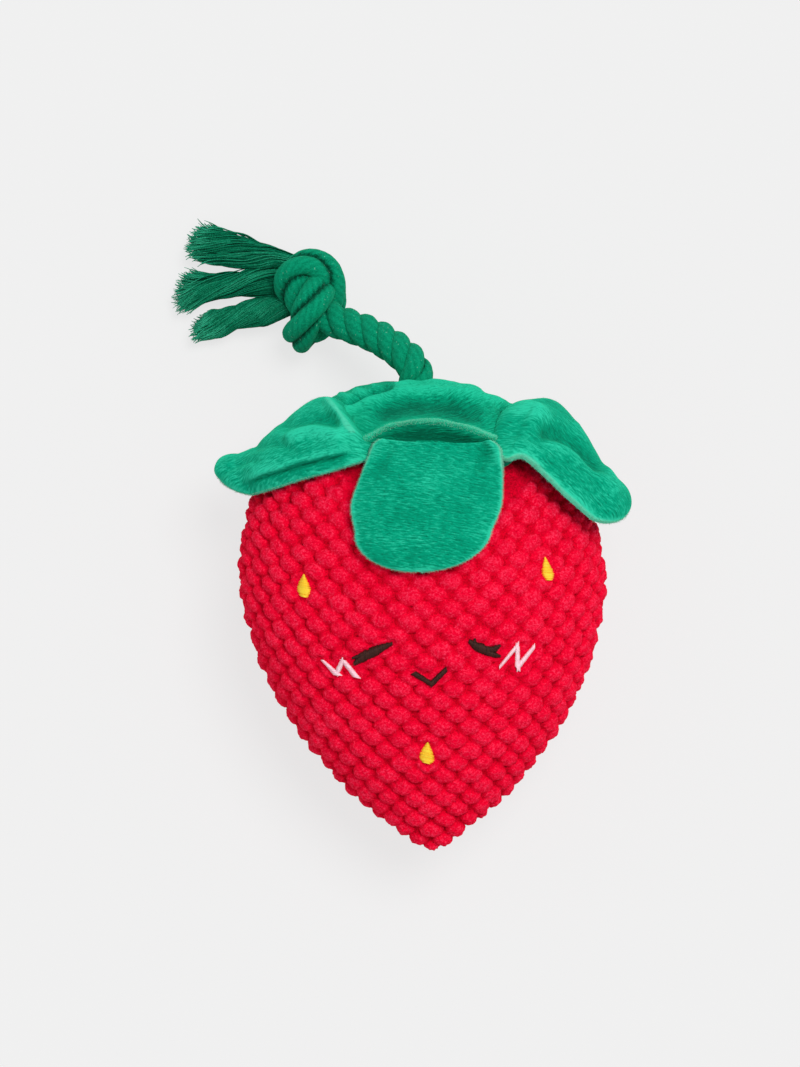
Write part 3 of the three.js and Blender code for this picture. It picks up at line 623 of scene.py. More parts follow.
# Tassels: their upper and lower outlines from the knot to the ends, as pixels of the photograph
TASSELS = {
    "tassel_upper": dict(
        above=[(301, 258), (275, 246.5), (259, 241), (245, 235), (231, 230.5), (220, 226), (210, 221.5)],
        below=[(296, 270), (273, 268.5), (259, 269), (243, 268.5), (224, 266), (208, 263.5), (194, 262)],
        heights=(0.0112, 0.0062), bulge=0.15, twist=-1.9,
    ),
    "tassel_middle": dict(
        above=[(290, 268), (264, 265.5), (247, 267), (233, 270.5), (217, 273), (203, 271), (189, 267)],
        below=[(288, 299), (262, 298), (241, 297), (226, 298.5), (210, 302), (194, 307.5), (181, 313.5)],
        heights=(0.0096, 0.0052), bulge=0.1, twist=-2.9,
    ),
    "tassel_lower": dict(
        above=[(290, 294), (266, 294.5), (248, 300), (234, 305), (222, 308.5), (210, 310), (203, 314)],
        below=[(294, 314), (277, 322), (264, 326), (248, 326.5), (234, 330), (219, 337), (197, 339.5)],
        heights=(0.0088, 0.0046), bulge=0.09, twist=-2.6,
    ),
}
YARNS_IN_TASSEL = 460
CLUMPS_IN_TASSEL = 22
TASSEL_HEIGHT_MM = 9
YARN_STEPS = 22
YARN_WAVE = 0.00034
YARN_END_CURL = 0.0007
YARN_REACH_SHARE = 0.96
CURLED_SHARE = 0.14
PALE_END_SHARE = 0.22
YARN_LIFT = 0.0008
TASSEL_THINNING = 0.35
TASSEL_TONE = 0.24
# How far a yarn strays from its clump: in spread, turn and reach, by wandering and curling, and in height
YARN_STRAYS = (0.2, 0.36, 0.04, 0.5, 1.0, 0.0002)


def make_tassel(name, above, below, heights, bulge, twist):
    """A bundle of yarns that untwists from the knot into wavy clumps with ragged ends."""
    tubes = Tubes(4)
    clumps = [dict(
        spread=np.sqrt(random.uniform()),
        turn=random.uniform(0, 2 * np.pi),
        phase=random.uniform(0, 6.3),
        wave=random.uniform(0.4, 1.2),
        reach=random.uniform(-0.05, 0.04),
        tone=random.uniform(-0.14, 0.14),
    ) for _ in range(CLUMPS_IN_TASSEL)]
    upper_line = [seen_at(*pixel, TASSEL_HEIGHT_MM) for pixel in above]
    lower_line = [seen_at(*pixel, TASSEL_HEIGHT_MM) for pixel in below]
    full_length = np.linalg.norm(above[-1] - np.array(above[0])) * PIXEL
    for number in range(YARNS_IN_TASSEL):
        clump = clumps[number % CLUMPS_IN_TASSEL]
        spread, turn, further, wander, curled, lift = random.normal(0, 1, 6) * YARN_STRAYS
        spread = np.clip(clump["spread"] + spread, 0.02, 1) ** 0.7
        turn += clump["turn"]
        middle_share = 0.5 + 0.5 * spread * math.cos(turn)
        reach = YARN_REACH_SHARE + bulge * math.sin(math.pi * middle_share) + clump["reach"] + further
        along = np.linspace(0, reach, YARN_STEPS)
        opened = np.clip(along, 0, 1)
        angle = turn + twist * (1 - opened)
        across = 0.5 + 0.48 * spread * np.cos(angle)
        high = spread * np.sin(angle)
        places = opened * (len(above) - 1)
        lower = spline(lower_line, places)
        path = lower + (spline(upper_line, places) - lower) * across[:, None]
        onward = unit(path[-1] - path[-4])
        path += onward * (np.maximum(along - 1, 0) * full_length)[:, None]
        wave = clump["wave"] * np.sin(along * 13 + clump["phase"]) * np.clip(along * 3, 0, 1)
        wandering = wander * np.sin(along * 9 + curled * 3) * along
        path[:, 1] += (wave + wandering) * YARN_WAVE
        curl = np.clip((along - reach + CURLED_SHARE) / CURLED_SHARE, 0, 1) ** 2
        path[:, 1] += YARN_END_CURL * curled * curl
        thick = TASSEL_THICKNESS * (1 - TASSEL_THINNING * opened) / 2
        path[:, 2] = heights[0] + (heights[1] - heights[0]) * opened + thick * 0.95 * high
        path[:, 2] += lift * along
        path[:, 2] = np.maximum(path[:, 2], YARN_RADIUS * 1.2 + (high + 1) * YARN_LIFT)
        radii = YARN_RADIUS * random.uniform(0.75, 1.2) * (1 - 0.6 * curl)
        ends = 0.75 * np.clip((along - reach + PALE_END_SHARE) / PALE_END_SHARE, 0, 1)
        # Painted shade: yarns low in the bundle are coloured darker and high ones lighter; clumps and yarns
        # also differ at random
        tone = TASSEL_TONE + 0.3 * high + clump["tone"] + random.uniform(-0.2, 0.2)
        tubes.add(path, radii, tone + ends)
    return tubes.piece(name + "_yarns", TASSEL_YARN, "rope", (name,), "green_yarn")


tassels = [make_tassel(name, **shape) for name, shape in TASSELS.items()]


# Body

def leaned(upright):
    """Points of the upright body, leaned to one side and lifted to their height over the table."""
    upright[..., 0] -= LEAN_SHARE * upright[..., 1]
    upright[..., 2] += BODY_CENTRE_Z
    return upright


def body_point(station, angle, outset):
    """A point of the body: station from -1 at the tip to 1 at the crown, angle round it from its right."""
    station, angle = np.broadcast_arrays(np.asarray(station, float), np.asarray(angle, float))
    along = np.abs(station)
    quarter = along * np.pi / 2
    taper = np.clip(1 - along ** TIP_TAPER_POWER, 1e-9, 1)
    tip = station < 0
    share = np.where(tip, taper ** TIP_BLUNT_POWER, np.cos(quarter))
    y = WIDEST_ROW_Y + np.where(tip, -TIP_LENGTH * along, CROWN_LENGTH * np.sin(quarter))
    tip_slope = -TIP_BLUNT_POWER * TIP_TAPER_POWER * along ** (TIP_TAPER_POWER - 1)
    tip_slope = tip_slope * taper ** (2 * TIP_BLUNT_POWER - 1) / TIP_LENGTH
    slope = np.where(tip, tip_slope, np.sin(quarter) / CROWN_LENGTH)
    x = BODY_HALF_WIDTH * share * np.cos(angle)
    z = BODY_HALF_DEPTH * share * np.sin(angle)
    normal = unit(np.stack([x / BODY_HALF_WIDTH ** 2, slope, z / BODY_HALF_DEPTH ** 2], -1))
    return leaned(np.stack([x, y, z], -1) + normal * np.asarray(outset, float)[..., None])


def even_stations(first, last, count):
    """Stations an even distance apart up the front's middle, their distances from the tip and its length."""
    dense = np.linspace(-1, 1, 1601)
    lengths = arc_lengths(body_point(dense, np.pi / 2, 0.0))
    ends = np.interp([first, last], dense, lengths)
    places = np.linspace(*ends, count)
    return np.interp(places, lengths, dense), places, lengths[-1]


def even_angles(station, count):
    """Angles an even distance apart across a panel, their distances from its middle, and half its width."""
    dense = np.linspace(0, np.pi, 361)
    lengths = arc_lengths(body_point(station, dense, 0.0))
    places = np.linspace(0, lengths[-1], count)
    return np.interp(places, lengths, dense), places - lengths[-1] / 2, lengths[-1] / 2


def bobbles(across, along, row_pitch):
    """Height of the plush above its ground, and each bobble's own random tone."""
    u = across / (BOBBLE_WIDTH / 2)
    v = (along - BOBBLE_ROW_RISE * across ** 2) / row_pitch
    p, q = (u + v) / 2, (u - v) / 2
    near_p, near_q = np.round(p), np.round(q)
    height, tone = np.zeros_like(u), np.zeros_like(u)
    period = 97
    chances = np.random.default_rng(11).uniform(-1, 1, (period, period, 4))
    for step_p in (-1, 0, 1):
        for step_q in (-1, 0, 1):
            cell_p, cell_q = near_p + step_p, near_q + step_q
            own = chances[cell_p.astype(int) % period, cell_q.astype(int) % period]
            off_p, off_q = p - cell_p, q - cell_q
            x = (off_p + off_q) * BOBBLE_WIDTH / 2 - own[..., 0] * BOBBLE_STRAY[0]
            y = (off_p - off_q) * row_pitch - own[..., 1] * BOBBLE_STRAY[1]
            reach = (x / BOBBLE_HALF_WIDTH) ** 2 + (y / BOBBLE_HALF_LENGTH) ** 2
            top = BOBBLE_HEIGHT * (1 + BOBBLE_SIZE_SPREAD * own[..., 3])
            domed = np.clip(1 - reach * (1 - BOBBLE_SIZE_SPREAD * own[..., 2]), 0, 1)
            dome = top * domed ** BOBBLE_BLUNTNESS
            tone = np.where(dome > height, own[..., 2], tone)
            height = np.maximum(height, dome)
    return height, tone


# Where the disc reaches further out: degrees round the rope from the right, half of its spread, and a share
DISC_SKIRTS = [(120, 24, 0.24), (43, 26, 0.28), (82, 30, 0.12)]

DISC_LIP_HEIGHT = 0.0028
DISC_FOLD_HEIGHT = 0.0007
DISC_RIM_BULGE = 0.001
FRONT_LEAF_ANGLE = math.radians(79)

# The lip's ridge: degrees from the front leaf's middle, and how far it lies on the way to the disc's rim
LIP_LINE = [(-44, 1.24), (-34, 1.28), (-28, 1.25), (-21, 1.12), (-15, 1.045), (-7, 0.985), (3, 0.94),
            (12, 0.935), (23, 0.975), (30, 1.05), (34, 1.13), (39, 1.2), (46, 1.22), (52, 1.18)]
LIP_FADE = [(-46, 0.0), (-36, 0.8), (-26, 1.0), (30, 1.0), (40, 0.8), (50, 0.0)]
LIP_RECESS = 0.0034
RECESS_FADE = [(-35, 0.0), (-24, 0.55), (-8, 1.0), (10, 1.0), (24, 0.6), (34, 0.0)]
CORNER_HALF_ANGLE = 5


def bell(value, middle, half_width):
    """1 at middle, falling to 0 at half_width from it."""
    return math.cos(min(1.0, abs(value - middle) / half_width) * math.pi / 2) ** 2


def along_line(line, value):
    """Value of a line of (place, value) points at a place, rounded off at its corners."""
    places, values = zip(*line)
    near = value + np.linspace(-CORNER_HALF_ANGLE, CORNER_HALF_ANGLE, 11)
    return float(np.interp(near, places, values).mean())


def degrees_from_front(angle):
    """Degrees from the front leaf's middle, from -180 to 180, of an angle round the rope."""
    return np.degrees((angle - FRONT_LEAF_ANGLE + np.pi) % (2 * np.pi) - np.pi)


def cap_shares(angle):
    """Places of the lip's ridge, the disc's reach and its edge, as shares of the way to its plain rim."""
    from_front = degrees_from_front(angle)
    lip_share = along_line(LIP_FADE, from_front)
    ridge = along_line(LIP_LINE, from_front) if lip_share else 1.0
    ridge = 0.9 + (ridge - 0.9) * min(1.0, lip_share * 2)
    skirts = [amount * bell(math.degrees(angle), middle, half) for middle, half, amount in DISC_SKIRTS]
    reach = 1 + sum(skirts)
    under_leaf = 0.06 + 0.14 * along_line(RECESS_FADE, from_front)
    edge = max(reach, ridge + under_leaf) + DISC_RIM_BULGE / (DISC_HALF_WIDTH - ROPE_HOLE_RADIUS)
    return ridge, reach, edge


# Lines at pixels of the photograph where the embroidery presses the plush down
PRESSED_PIXELS = [
    [(392, 643.6), (372, 651.5), (353, 658.6)],
    [(376, 652), (358, 665)],
    [(469, 644.5), (482, 650.5), (500.6, 649)],
    [(478, 649.5), (497, 656)],
    [(414.4, 672.5), (431.8, 684.5), (446, 669.4)],
    [(322, 660), (337, 673), (343, 660), (357, 677)],
    [(500, 667), (518, 645), (518, 669), (534, 646)],
]
# Each seed: pixels across and down, tilt in degrees, half width and half length in pixels
SEED_PIXELS = {
    "seed_left": (304, 586, 0, 6.8, 11.6),
    "seed_right": (547, 569, -10, 5.8, 12),
    "seed_lower": (427, 753, 4, 7.8, 10.6),
}


def on_front(seen, outset):
    """Points on the front of the body under places seen from above, at a height above its ground."""
    seen = np.asarray(seen, float)
    aim = seen.copy()
    for _ in range(6):
        upright_x = aim[..., 0] + LEAN_SHARE * aim[..., 1]
        from_widest = aim[..., 1] - WIDEST_ROW_Y
        crown_station = np.arcsin(np.clip(from_widest / CROWN_LENGTH, -1, 1)) * 2 / np.pi
        station = np.where(from_widest < 0, np.maximum(from_widest / TIP_LENGTH, -0.999), crown_station)
        ring = body_point(station, 0.0, 0.0)
        half = ring[..., 0] + LEAN_SHARE * ring[..., 1]
        angle = np.arccos(np.clip(upright_x / half, -0.999, 0.999))
        found = body_point(station, angle, outset)
        aim += seen - found[..., :2]
    return found


def on_skin(pixels):
    """Places, seen from above, of the skin that the camera sees at pixels of the photograph."""
    places = on_photo(pixels)
    heights = on_front(places, PRESSED_HEIGHT)[..., 2]
    middle = on_photo(np.array(PHOTO_SIZE) / 2)
    nearer = 1 - (heights - SILHOUETTE_Z) / CAMERA_DISTANCE
    return middle + (places - middle) * nearer[..., None]


def distance_to_lines(points, lines):
    """Least distance, seen from above, from points to any of the lines."""
    best = np.full(points.shape[:-1], 1.0)
    for line in lines:
        for start, end in zip(line[:-1], line[1:]):
            run = end - start
            share = np.clip(((points - start) @ run) / (run @ run), 0, 1)
            best = np.minimum(best, np.linalg.norm(points - start - share[..., None] * run, axis=-1))
    return best


MARK_LINES = [on_skin(line) for line in PRESSED_PIXELS]
SEED_LINES = [on_skin([(x, y - 6), (x, y + 5)]) for x, y, *_ in SEED_PIXELS.values()]
MARK_CLEARANCE = (0.0009, 0.0026)
SEED_CLEARANCE = (0.0018, 0.0032)
CAP_ANGLES = np.linspace(0, 2 * np.pi, 181)
CAP_EDGES = [cap_shares(angle)[2] for angle in CAP_ANGLES]


def clear_of_cap(ground):
    """0 on the body under the cap's disc, rising to 1 just past its rim."""
    upright_x = ground[:, 0] + LEAN_SHARE * ground[:, 1]
    depth = ground[:, 2] - BODY_CENTRE_Z
    reach = np.hypot(upright_x / DISC_HALF_WIDTH, depth / DISC_HALF_DEPTH)
    angle = np.arctan2(depth / DISC_HALF_DEPTH, upright_x / DISC_HALF_WIDTH)
    past = reach - np.interp(angle % (2 * np.pi), CAP_ANGLES, CAP_EDGES)
    return np.where(ground[:, 1] < WIDEST_ROW_Y, 1.0, step_between(0.01, 0.12, past))


def make_panel(name, node, face):
    """Half of the skin with its bobbles: face is 1 in front, -1 behind."""
    stations, places, total = even_stations(-0.9985, 0.93, PANEL_ROWS)
    row_pitch = total / round(total / BOBBLE_ROW_PITCH)
    lining_angles = np.linspace(np.pi, 0, LINING_COLUMNS + 2)[1:-1]
    no_plush = np.zeros(LINING_COLUMNS)
    rings, tufts, tones = [], [], []
    for station, place in zip(stations, places):
        angles, across, half = even_angles(station, PANEL_COLUMNS)
        height, tone = bobbles(across, np.full(PANEL_COLUMNS, place), row_pitch)
        edge = half - np.abs(across)
        ground = body_point(station, face * angles, 0.0)
        height *= step_between(-0.0002, SEAM_HALF_WIDTH, edge) * clear_of_cap(ground)
        if face > 0:
            near_mark = step_between(*MARK_CLEARANCE, distance_to_lines(ground[:, :2], MARK_LINES))
            near_mark *= step_between(*SEED_CLEARANCE, distance_to_lines(ground[:, :2], SEED_LINES))
            height = PRESSED_HEIGHT + (height - PRESSED_HEIGHT) * near_mark
        seam = SEAM_DEPTH * (1 - step_between(0.0, SEAM_HALF_WIDTH, edge))
        outer = body_point(station, face * angles, height - seam)
        lining = body_point(station, face * lining_angles, -SKIN_THICKNESS)
        rings.append(np.concatenate([outer, lining]))
        # The bobbles' height, kept for the painted shade between them
        tufts.append(np.concatenate([height / BOBBLE_HEIGHT, no_plush]))
        tones.append(np.concatenate([tone, no_plush]))
    points = np.array(rings)
    outer = points[:, :PANEL_COLUMNS]
    inward = unit(np.cross(np.gradient(outer, axis=1), np.gradient(outer, axis=0))) * face
    crinkle = lumps(outer.reshape(-1, 3), *PLUSH_CRINKLES)
    points[:, :PANEL_COLUMNS] = outer + inward * crinkle.reshape(outer.shape[:2])[..., None]
    points[..., 2] = np.maximum(points[..., 2], 0.0)
    wide = PANEL_COLUMNS + LINING_COLUMNS
    faces = grid_quads(PANEL_ROWS, wide).tolist() + end_caps(PANEL_ROWS, wide)
    if face > 0:
        faces = [corners[::-1] for corners in faces]
    levels = {"bobble_shade": np.concatenate(tufts), "tone": np.concatenate(tones)}
    panel = make_piece(name, points.reshape(-1, 3), faces, RED_PLUSH, "toy", (node,), "red_plush", **levels)
    return panel


make_panel("front_plush", "body_front_panel", 1)
make_panel("back_plush", "body_back_panel", -1)


# Cap

def crown_surface(x, z):
    """Height of the crown, as a share, at places seen along the body's axis, and the way that it faces."""
    share = np.sqrt(np.clip(1 - (x / BODY_HALF_WIDTH) ** 2 - (z / BODY_HALF_DEPTH) ** 2, 1e-9, 1))
    normal = [x / BODY_HALF_WIDTH ** 2, share / CROWN_LENGTH, z / BODY_HALF_DEPTH ** 2]
    return share, unit(np.stack(normal, -1))


def cap_point(share, angle, outset):
    """A point of the cap: share runs from the rope's hole at 0 to the disc's rim at 1."""
    share, angle = np.broadcast_arrays(np.asarray(share, float), np.asarray(angle, float))
    x = (ROPE_HOLE_RADIUS + (DISC_HALF_WIDTH - ROPE_HOLE_RADIUS) * share) * np.cos(angle)
    z = (ROPE_HOLE_RADIUS + (DISC_HALF_DEPTH - ROPE_HOLE_RADIUS) * share) * np.sin(angle)
    height, normal = crown_surface(x, z)
    point = np.stack([x, WIDEST_ROW_Y + CROWN_LENGTH * height, z], -1)
    return leaned(point + normal * np.asarray(outset, float)[..., None])


def grid_normals(points, closed):
    """Ways that a grid of points faces, to the right of its rows seen along its columns."""
    if closed:
        across = np.roll(points, -1, axis=1) - np.roll(points, 1, axis=1)
    else:
        across = np.gradient(points, axis=1)
    return unit(np.cross(across, np.gradient(points, axis=0)))


def pixel_curve(pixels, density):
    """A smooth curve on the toy, seen from above, through pixels of the photograph."""
    return on_photo(spline(pixels, np.linspace(0, len(pixels) - 1, density * len(pixels))))


def fold_heights(points, folds):
    """Heights of folds, seen from above. Each fold is (height, half width, pixels along its line)."""
    heights = np.zeros(points.shape[:-1])
    for height, half_width, pixels in folds:
        distance = distance_to_lines(points[..., :2], [pixel_curve(pixels, 6)])
        heights += height * peak(distance, 0, half_width)
    return heights


# How pale the fibres are painted at root and tip: a painted sheen
FIBRE_ROOT_SHEEN = 1.4
FIBRE_TIP_SHEEN = 1.95
FIBRE_ROOT_DEPTH = 0.0002


def fringe(starts, directions, lengths):
    """Short tapered fibres: their points and faces, and how pale each point is painted, a painted sheen."""
    side = unit(np.cross(directions, [0.3, 0.5, 0.8]))
    base = starts[:, None] + PILE_RADIUS * spokes(side, np.cross(directions, side), 3)
    tips = starts + directions * lengths[:, None]
    points = np.concatenate([base, tips[:, None]], axis=1).reshape(-1, 3)
    first = np.arange(len(starts))[:, None] * 4
    faces = np.concatenate([first + corners for corners in ([0, 1, 3], [1, 2, 3], [2, 0, 3], [2, 1, 0])])
    return points, faces, np.tile([*[FIBRE_ROOT_SHEEN] * 3, FIBRE_TIP_SHEEN], len(starts))


def fuzz_on(points, normals, rows, columns, count, length, lean, rng):
    """Fibres that stand on chosen rows and columns of a grid, leaning to a direction per point."""
    row = rng.choice(rows, count)
    column = rng.choice(columns, count)
    starts = points[row, column]
    shift = points[np.minimum(row + 1, len(points) - 1), column] - starts
    starts = starts + shift * rng.uniform(0, 1, (count, 1))
    wild = rng.normal(0, 0.4, (count, 3))
    directions = unit(normals[row, column] * 0.6 + lean[row, column] + wild)
    lengths = length * rng.uniform(0.35, 1.1, count)
    return fringe(starts - directions * FIBRE_ROOT_DEPTH, directions, lengths)


def ring_cap(first, count):
    """Faces that close a ring of points, from each point to the one across from it."""
    half = count // 2
    strips = [(i, i + 1, count - i - 1, count - i) for i in range(1, half - 1)]
    faces = [(0, 1, count - 1), *strips, (half - 1, half, half + 1)]
    return [[first + corner for corner in face] for face in faces]


def make_soft_piece(name, node, body, points, naps, streaks, fibres, material):
    """A closed padded piece from a grid of rings, with its fibres. streaks are the map of its brushed pile;
    the other grid is painted light:
    painted shade below 0 in creases, painted highlight above 0 on crests, and a painted pale sheen past 1 on
    fibres."""
    rows, columns = points.shape[:2]
    count = rows * columns
    faces = grid_quads(rows, columns).tolist()
    faces += [face[::-1] for face in ring_cap(0, columns)] + ring_cap(count - columns, columns)
    flat = [points.reshape(-1, 3)]
    streak, nap_line, nap = [streaks[..., 0].ravel()], [streaks[..., 1].ravel()], [naps.ravel()]
    for fibre_points, fibre_faces, painted_paleness in fibres:
        faces += (fibre_faces + count).tolist()
        flat.append(fibre_points)
        count += len(fibre_points)
        streak.append(fibre_points[:, 0])
        nap_line.append(fibre_points[:, 1])
        nap.append(painted_paleness)
    flat, streak, nap_line, nap = (np.concatenate(parts) for parts in (flat, streak, nap_line, nap))
    piece = make_piece(name, flat, faces, material, body, (node,), "green_plush", streak=streak,
                       nap_line=nap_line, nap=nap)
    return piece


# The disc's folds: a ridge across it before the rope, one at the rope's foot, and gathers behind them
DISC_FOLDS = [
    (0.0018, 0.0013,
     [(348, 413), (370, 403), (392, 397), (419, 393), (451, 393.5), (480, 397), (510, 408)]),
    (-0.0016, 0.0013, [(352, 406), (372, 397), (388, 391)]),
    (0.0012, 0.0014, [(397, 388), (424, 383), (451, 388), (478, 392)]),
    (-0.0008, 0.0010, [(440, 390), (470, 393.5), (500, 400)]),
    (-0.0012, 0.0032, [(385, 413), (425, 407), (470, 413)]),
    (0.0014, 0.0016, [(342, 398), (350, 401)]),
    (0.0014, 0.0014, [(357, 393), (365, 396)]),
    (0.0011, 0.0012, [(374, 388), (380, 391)]),
    (-0.0014, 0.0022, [(506, 410), (509, 430), (511, 452)]),
]
DISC_ROWS = 361
DISC_COLUMNS = 92
DISC_FOLD_RISE = 1.25
DISC_FRONT_HEIGHTS = (0.030, 0.038)
DISC_WRINKLES = (0.006, 0.0005, 4.0)
DISC_FOLD_SHADE_HEIGHT = 0.0015
GATHER_COUNT = 17
GATHER_HEIGHT = 0.0007
LIP_FIBRES = 4800
LIP_PILE_SHARE = 0.7
LIP_FIBRES_FROM_SHARE = 0.25
# Places along the disc's section, counted in its points
UPPER_FROM = (5.5, 6.5)
RECESS_PLACE = 7.0
LIP_PLACE = 9.1
LIP_FIBRES_PLACE = 8.8
# Painted highlight on the disc's lip and painted shade in the hollow under it, and where the lip's fibres lean
LIP_PAINTED_HIGHLIGHT = 1.2
RECESS_PAINTED_SHADE = 1.5
LIP_LEAN = (0, -0.35, 0.5)


def disc_section(angle):
    """Points (share, outset) of the disc's section: underside, rim, recess under the lip, lip and top."""
    ridge, reach, edge = cap_shares(angle)
    from_front = degrees_from_front(angle)
    lip = DISC_LIP_HEIGHT * along_line(LIP_FADE, from_front)
    fold = DISC_FOLD_HEIGHT * math.cos(5 * math.radians(from_front) + np.pi)
    top = DRAPE_GAP + DISC_THICKNESS
    recess = LIP_RECESS * along_line(RECESS_FADE, from_front)
    between = (edge - ridge) / 4
    return [
        (0.0, DRAPE_GAP),
        (0.35, DRAPE_GAP),
        (0.7, DRAPE_GAP),
        (0.94 * reach, DRAPE_GAP),
        (edge - 0.01, DRAPE_GAP + 0.15 * (top - recess)),
        (edge, 0.5 * (top - 0.8 * recess)),
        (edge - between, top - recess),
        (ridge + 1.4 * between, top - recess),
        (ridge + 0.012, top + 0.55 * lip),
        (ridge - 0.02, top + lip),
        (ridge - 0.065, top + 0.8 * lip),
        (ridge - 0.14, top + 0.2 * lip + 0.9 * fold),
        (0.6, top + 0.8 * fold),
        (0.35, top + 0.3 * fold),
        (0.15, top),
        (0.0, top - 0.0006),
    ]


def make_disc():
    """The cap's draped disc: its sections all round the rope, with folds, gathers, a fuzzy lip, painted shade
    in the hollow under the lip and painted highlights on the lip and folds.
    """
    angles = np.linspace(0, 2 * np.pi, DISC_ROWS)
    sections = np.array([disc_section(angle) for angle in angles])
    section_place = np.arange(DISC_COLUMNS) / (DISC_COLUMNS - 1) * (sections.shape[1] - 1)
    lines = [spline(section, section_place) for section in sections]
    points = np.array([cap_point(line[:, 0], angle, line[:, 1]) for line, angle in zip(lines, angles)])
    outward = grid_normals(points, True)
    middle = points.mean(axis=(0, 1))
    outward *= np.sign(((points - middle) * outward).sum(-1).mean())
    upper = step_between(*UPPER_FROM, section_place)
    front = step_between(*DISC_FRONT_HEIGHTS, points[..., 2])
    heights = DISC_FOLD_RISE * fold_heights(points, DISC_FOLDS) * front
    gathers = GATHER_HEIGHT * np.cos(GATHER_COUNT * angles)[:, None] * (1 - front)
    wrinkles = lumps(points.reshape(-1, 3), DISC_WRINKLES).reshape(heights.shape)
    points = points + outward * ((heights + gathers + wrinkles) * upper)[..., None]
    points[-1] = points[0]
    from_front = degrees_from_front(angles)
    lip_shares, recess_shares = (np.array([along_line(line, degrees) for degrees in from_front])[:, None]
                                 for line in (LIP_FADE, RECESS_FADE))
    # Painted light: painted shade in the hollow under the lip and on sunken folds, painted highlight on the
    # lip's ridge and raised folds
    recess_shade_mask = peak(section_place, RECESS_PLACE, 0.8) * recess_shares
    ridge_highlight_mask = peak(section_place, LIP_PLACE, 0.9) * lip_shares
    naps = np.clip(heights / DISC_FOLD_SHADE_HEIGHT, -1, 1) * upper
    naps = naps - RECESS_PAINTED_SHADE * recess_shade_mask + LIP_PAINTED_HIGHLIGHT * ridge_highlight_mask
    from_hole = np.array([arc_lengths(ring) for ring in points[:, ::-1]])[:, ::-1]
    round_hole = np.radians(from_front)[:, None] * DISC_HALF_DEPTH + 0 * from_hole
    lean = np.zeros_like(points) + LIP_LEAN
    lip_rows = np.flatnonzero(lip_shares > LIP_FIBRES_FROM_SHARE)
    lip_columns = np.flatnonzero(np.abs(section_place - LIP_FIBRES_PLACE) < 0.75)
    lip = fuzz_on(points, outward, lip_rows, lip_columns, LIP_FIBRES, PILE_LENGTH * LIP_PILE_SHARE, lean,
                  np.random.default_rng(21))
    streaks = np.stack([round_hole, from_hole], -1)
    return make_soft_piece("disc_cloth", "calyx_disc", "toy", points, naps, streaks, [lip], DISC_PLUSH)


make_disc()

# Leaves: both side lines from the root and the tip, as (pixel across, pixel down, height in millimetres)
LEAVES = {
    "petal_front": dict(
        streak_axis=0, arch=0.0006, thickness=0.0044,
        left=[(382, 438.5, 66), (373, 445, 66.5), (367.5, 461, 67.5), (358.5, 483, 69), (351.5, 507, 70),
              (355.5, 532, 71)],
        right=[(490, 440.5, 65), (499.5, 448, 65.5), (502, 462, 66.5), (502.5, 483, 69), (500.5, 507, 70),
               (491, 531, 72)],
        tip=(418, 572, 75),
        folds=[(0.0012, 0.0011, [(382, 443), (432, 446), (494, 444)]),
               (0.0026, 0.0017, [(487, 445), (494, 454), (497, 468)]),
               (-0.0020, 0.0017, [(479, 446), (482, 456), (478, 470)]),
               (-0.0009, 0.0012, [(408, 553), (411, 574)]),
               (0.0007, 0.0035, [(420, 488), (440, 492)]),
               (-0.0006, 0.003, [(378, 505), (420, 522), (470, 510)]),
               (0.0016, 0.002, [(379, 445), (367, 468)]),
               (-0.0010, 0.0018, [(390, 452), (378, 475)])],
        seat=0.0048, root_bow=-0.0022,
    ),
    "petal_left": dict(
        arch=0.0042, thickness=0.0046,
        left=[(349, 400, 43), (331, 397.5, 42), (308, 405, 39), (284, 425, 36.5), (261, 448, 34),
              (240, 457, 33.5)],
        right=[(377, 450, 66.5), (360, 461.5, 66), (334, 471, 63.5), (303, 479.5, 60), (275, 488.5, 55.5),
               (252, 495, 49)],
        tip=(217.5, 474, 36.5),
        folds=[(0.0032, 0.0018, [(333, 408), (345, 424), (356, 438)]),
               (-0.0030, 0.0018, [(347, 403), (358, 421), (370, 436)]),
               (0.0024, 0.0022, [(297, 445), (317, 437), (342, 440)]),
               (-0.0022, 0.0024, [(292, 430), (318, 424), (336, 428)]),
               (-0.0010, 0.0012, [(222, 480), (240, 470), (262, 464)]),
               (-0.0012, 0.0016, [(262, 452), (280, 448), (296, 452)])],
        slit=(0.0026, 0.0004, [(242, 486), (262, 477), (283, 471), (305, 464), (339, 456.5), (356, 453)]),
        # The whole left leaf is painted paler, a painted highlight
        sink=0.0032, painted_paleness=0.3,
    ),
    "petal_right": dict(
        arch=0.0042, thickness=0.0048,
        left=[(513, 402, 46), (534, 399.5, 40), (557, 404.5, 36), (575, 428, 34), (592, 456, 34),
              (612, 482, 37.5)],
        right=[(498, 448, 66), (508, 458.5, 66.5), (524, 458.5, 66.2), (546, 477, 65.5), (568, 498, 64),
               (592, 519, 59)],
        tip=(627, 513, 46),
        folds=[(0.0036, 0.0036, [(520, 414), (532, 424)]),
               (-0.0030, 0.0026, [(541, 437), (556, 441), (569, 449), (590, 470)]),
               (0.0016, 0.002, [(543, 450), (562, 460), (590, 481), (606, 497)]),
               (0.0013, 0.0016, [(570, 430), (588, 458), (610, 488)]),
               (0.0012, 0.0018, [(506, 448), (522, 452), (536, 462)])],
        sink=0.0026, root_bow=0.003,
    ),
}

# The back leaves are each other's mirror image, and their points are in millimetres on the toy
BACK_LEAF_OUTER = [(-34, 64, 19), (-38, 58, 15.5), (-41.5, 49, 10), (-43.5, 41, 6), (-43.5, 33, 3.4)]
BACK_LEAF_INNER = [(-13, 58, 6.5), (-14.5, 53, 4.8), (-17, 47, 3.2), (-20, 40, 2.6), (-23.5, 33, 2.3)]
BACK_LEAF_TIP = (-34, 21.4, 2.4)
BACK_LEAVES_MIDDLE_MM = -2.1


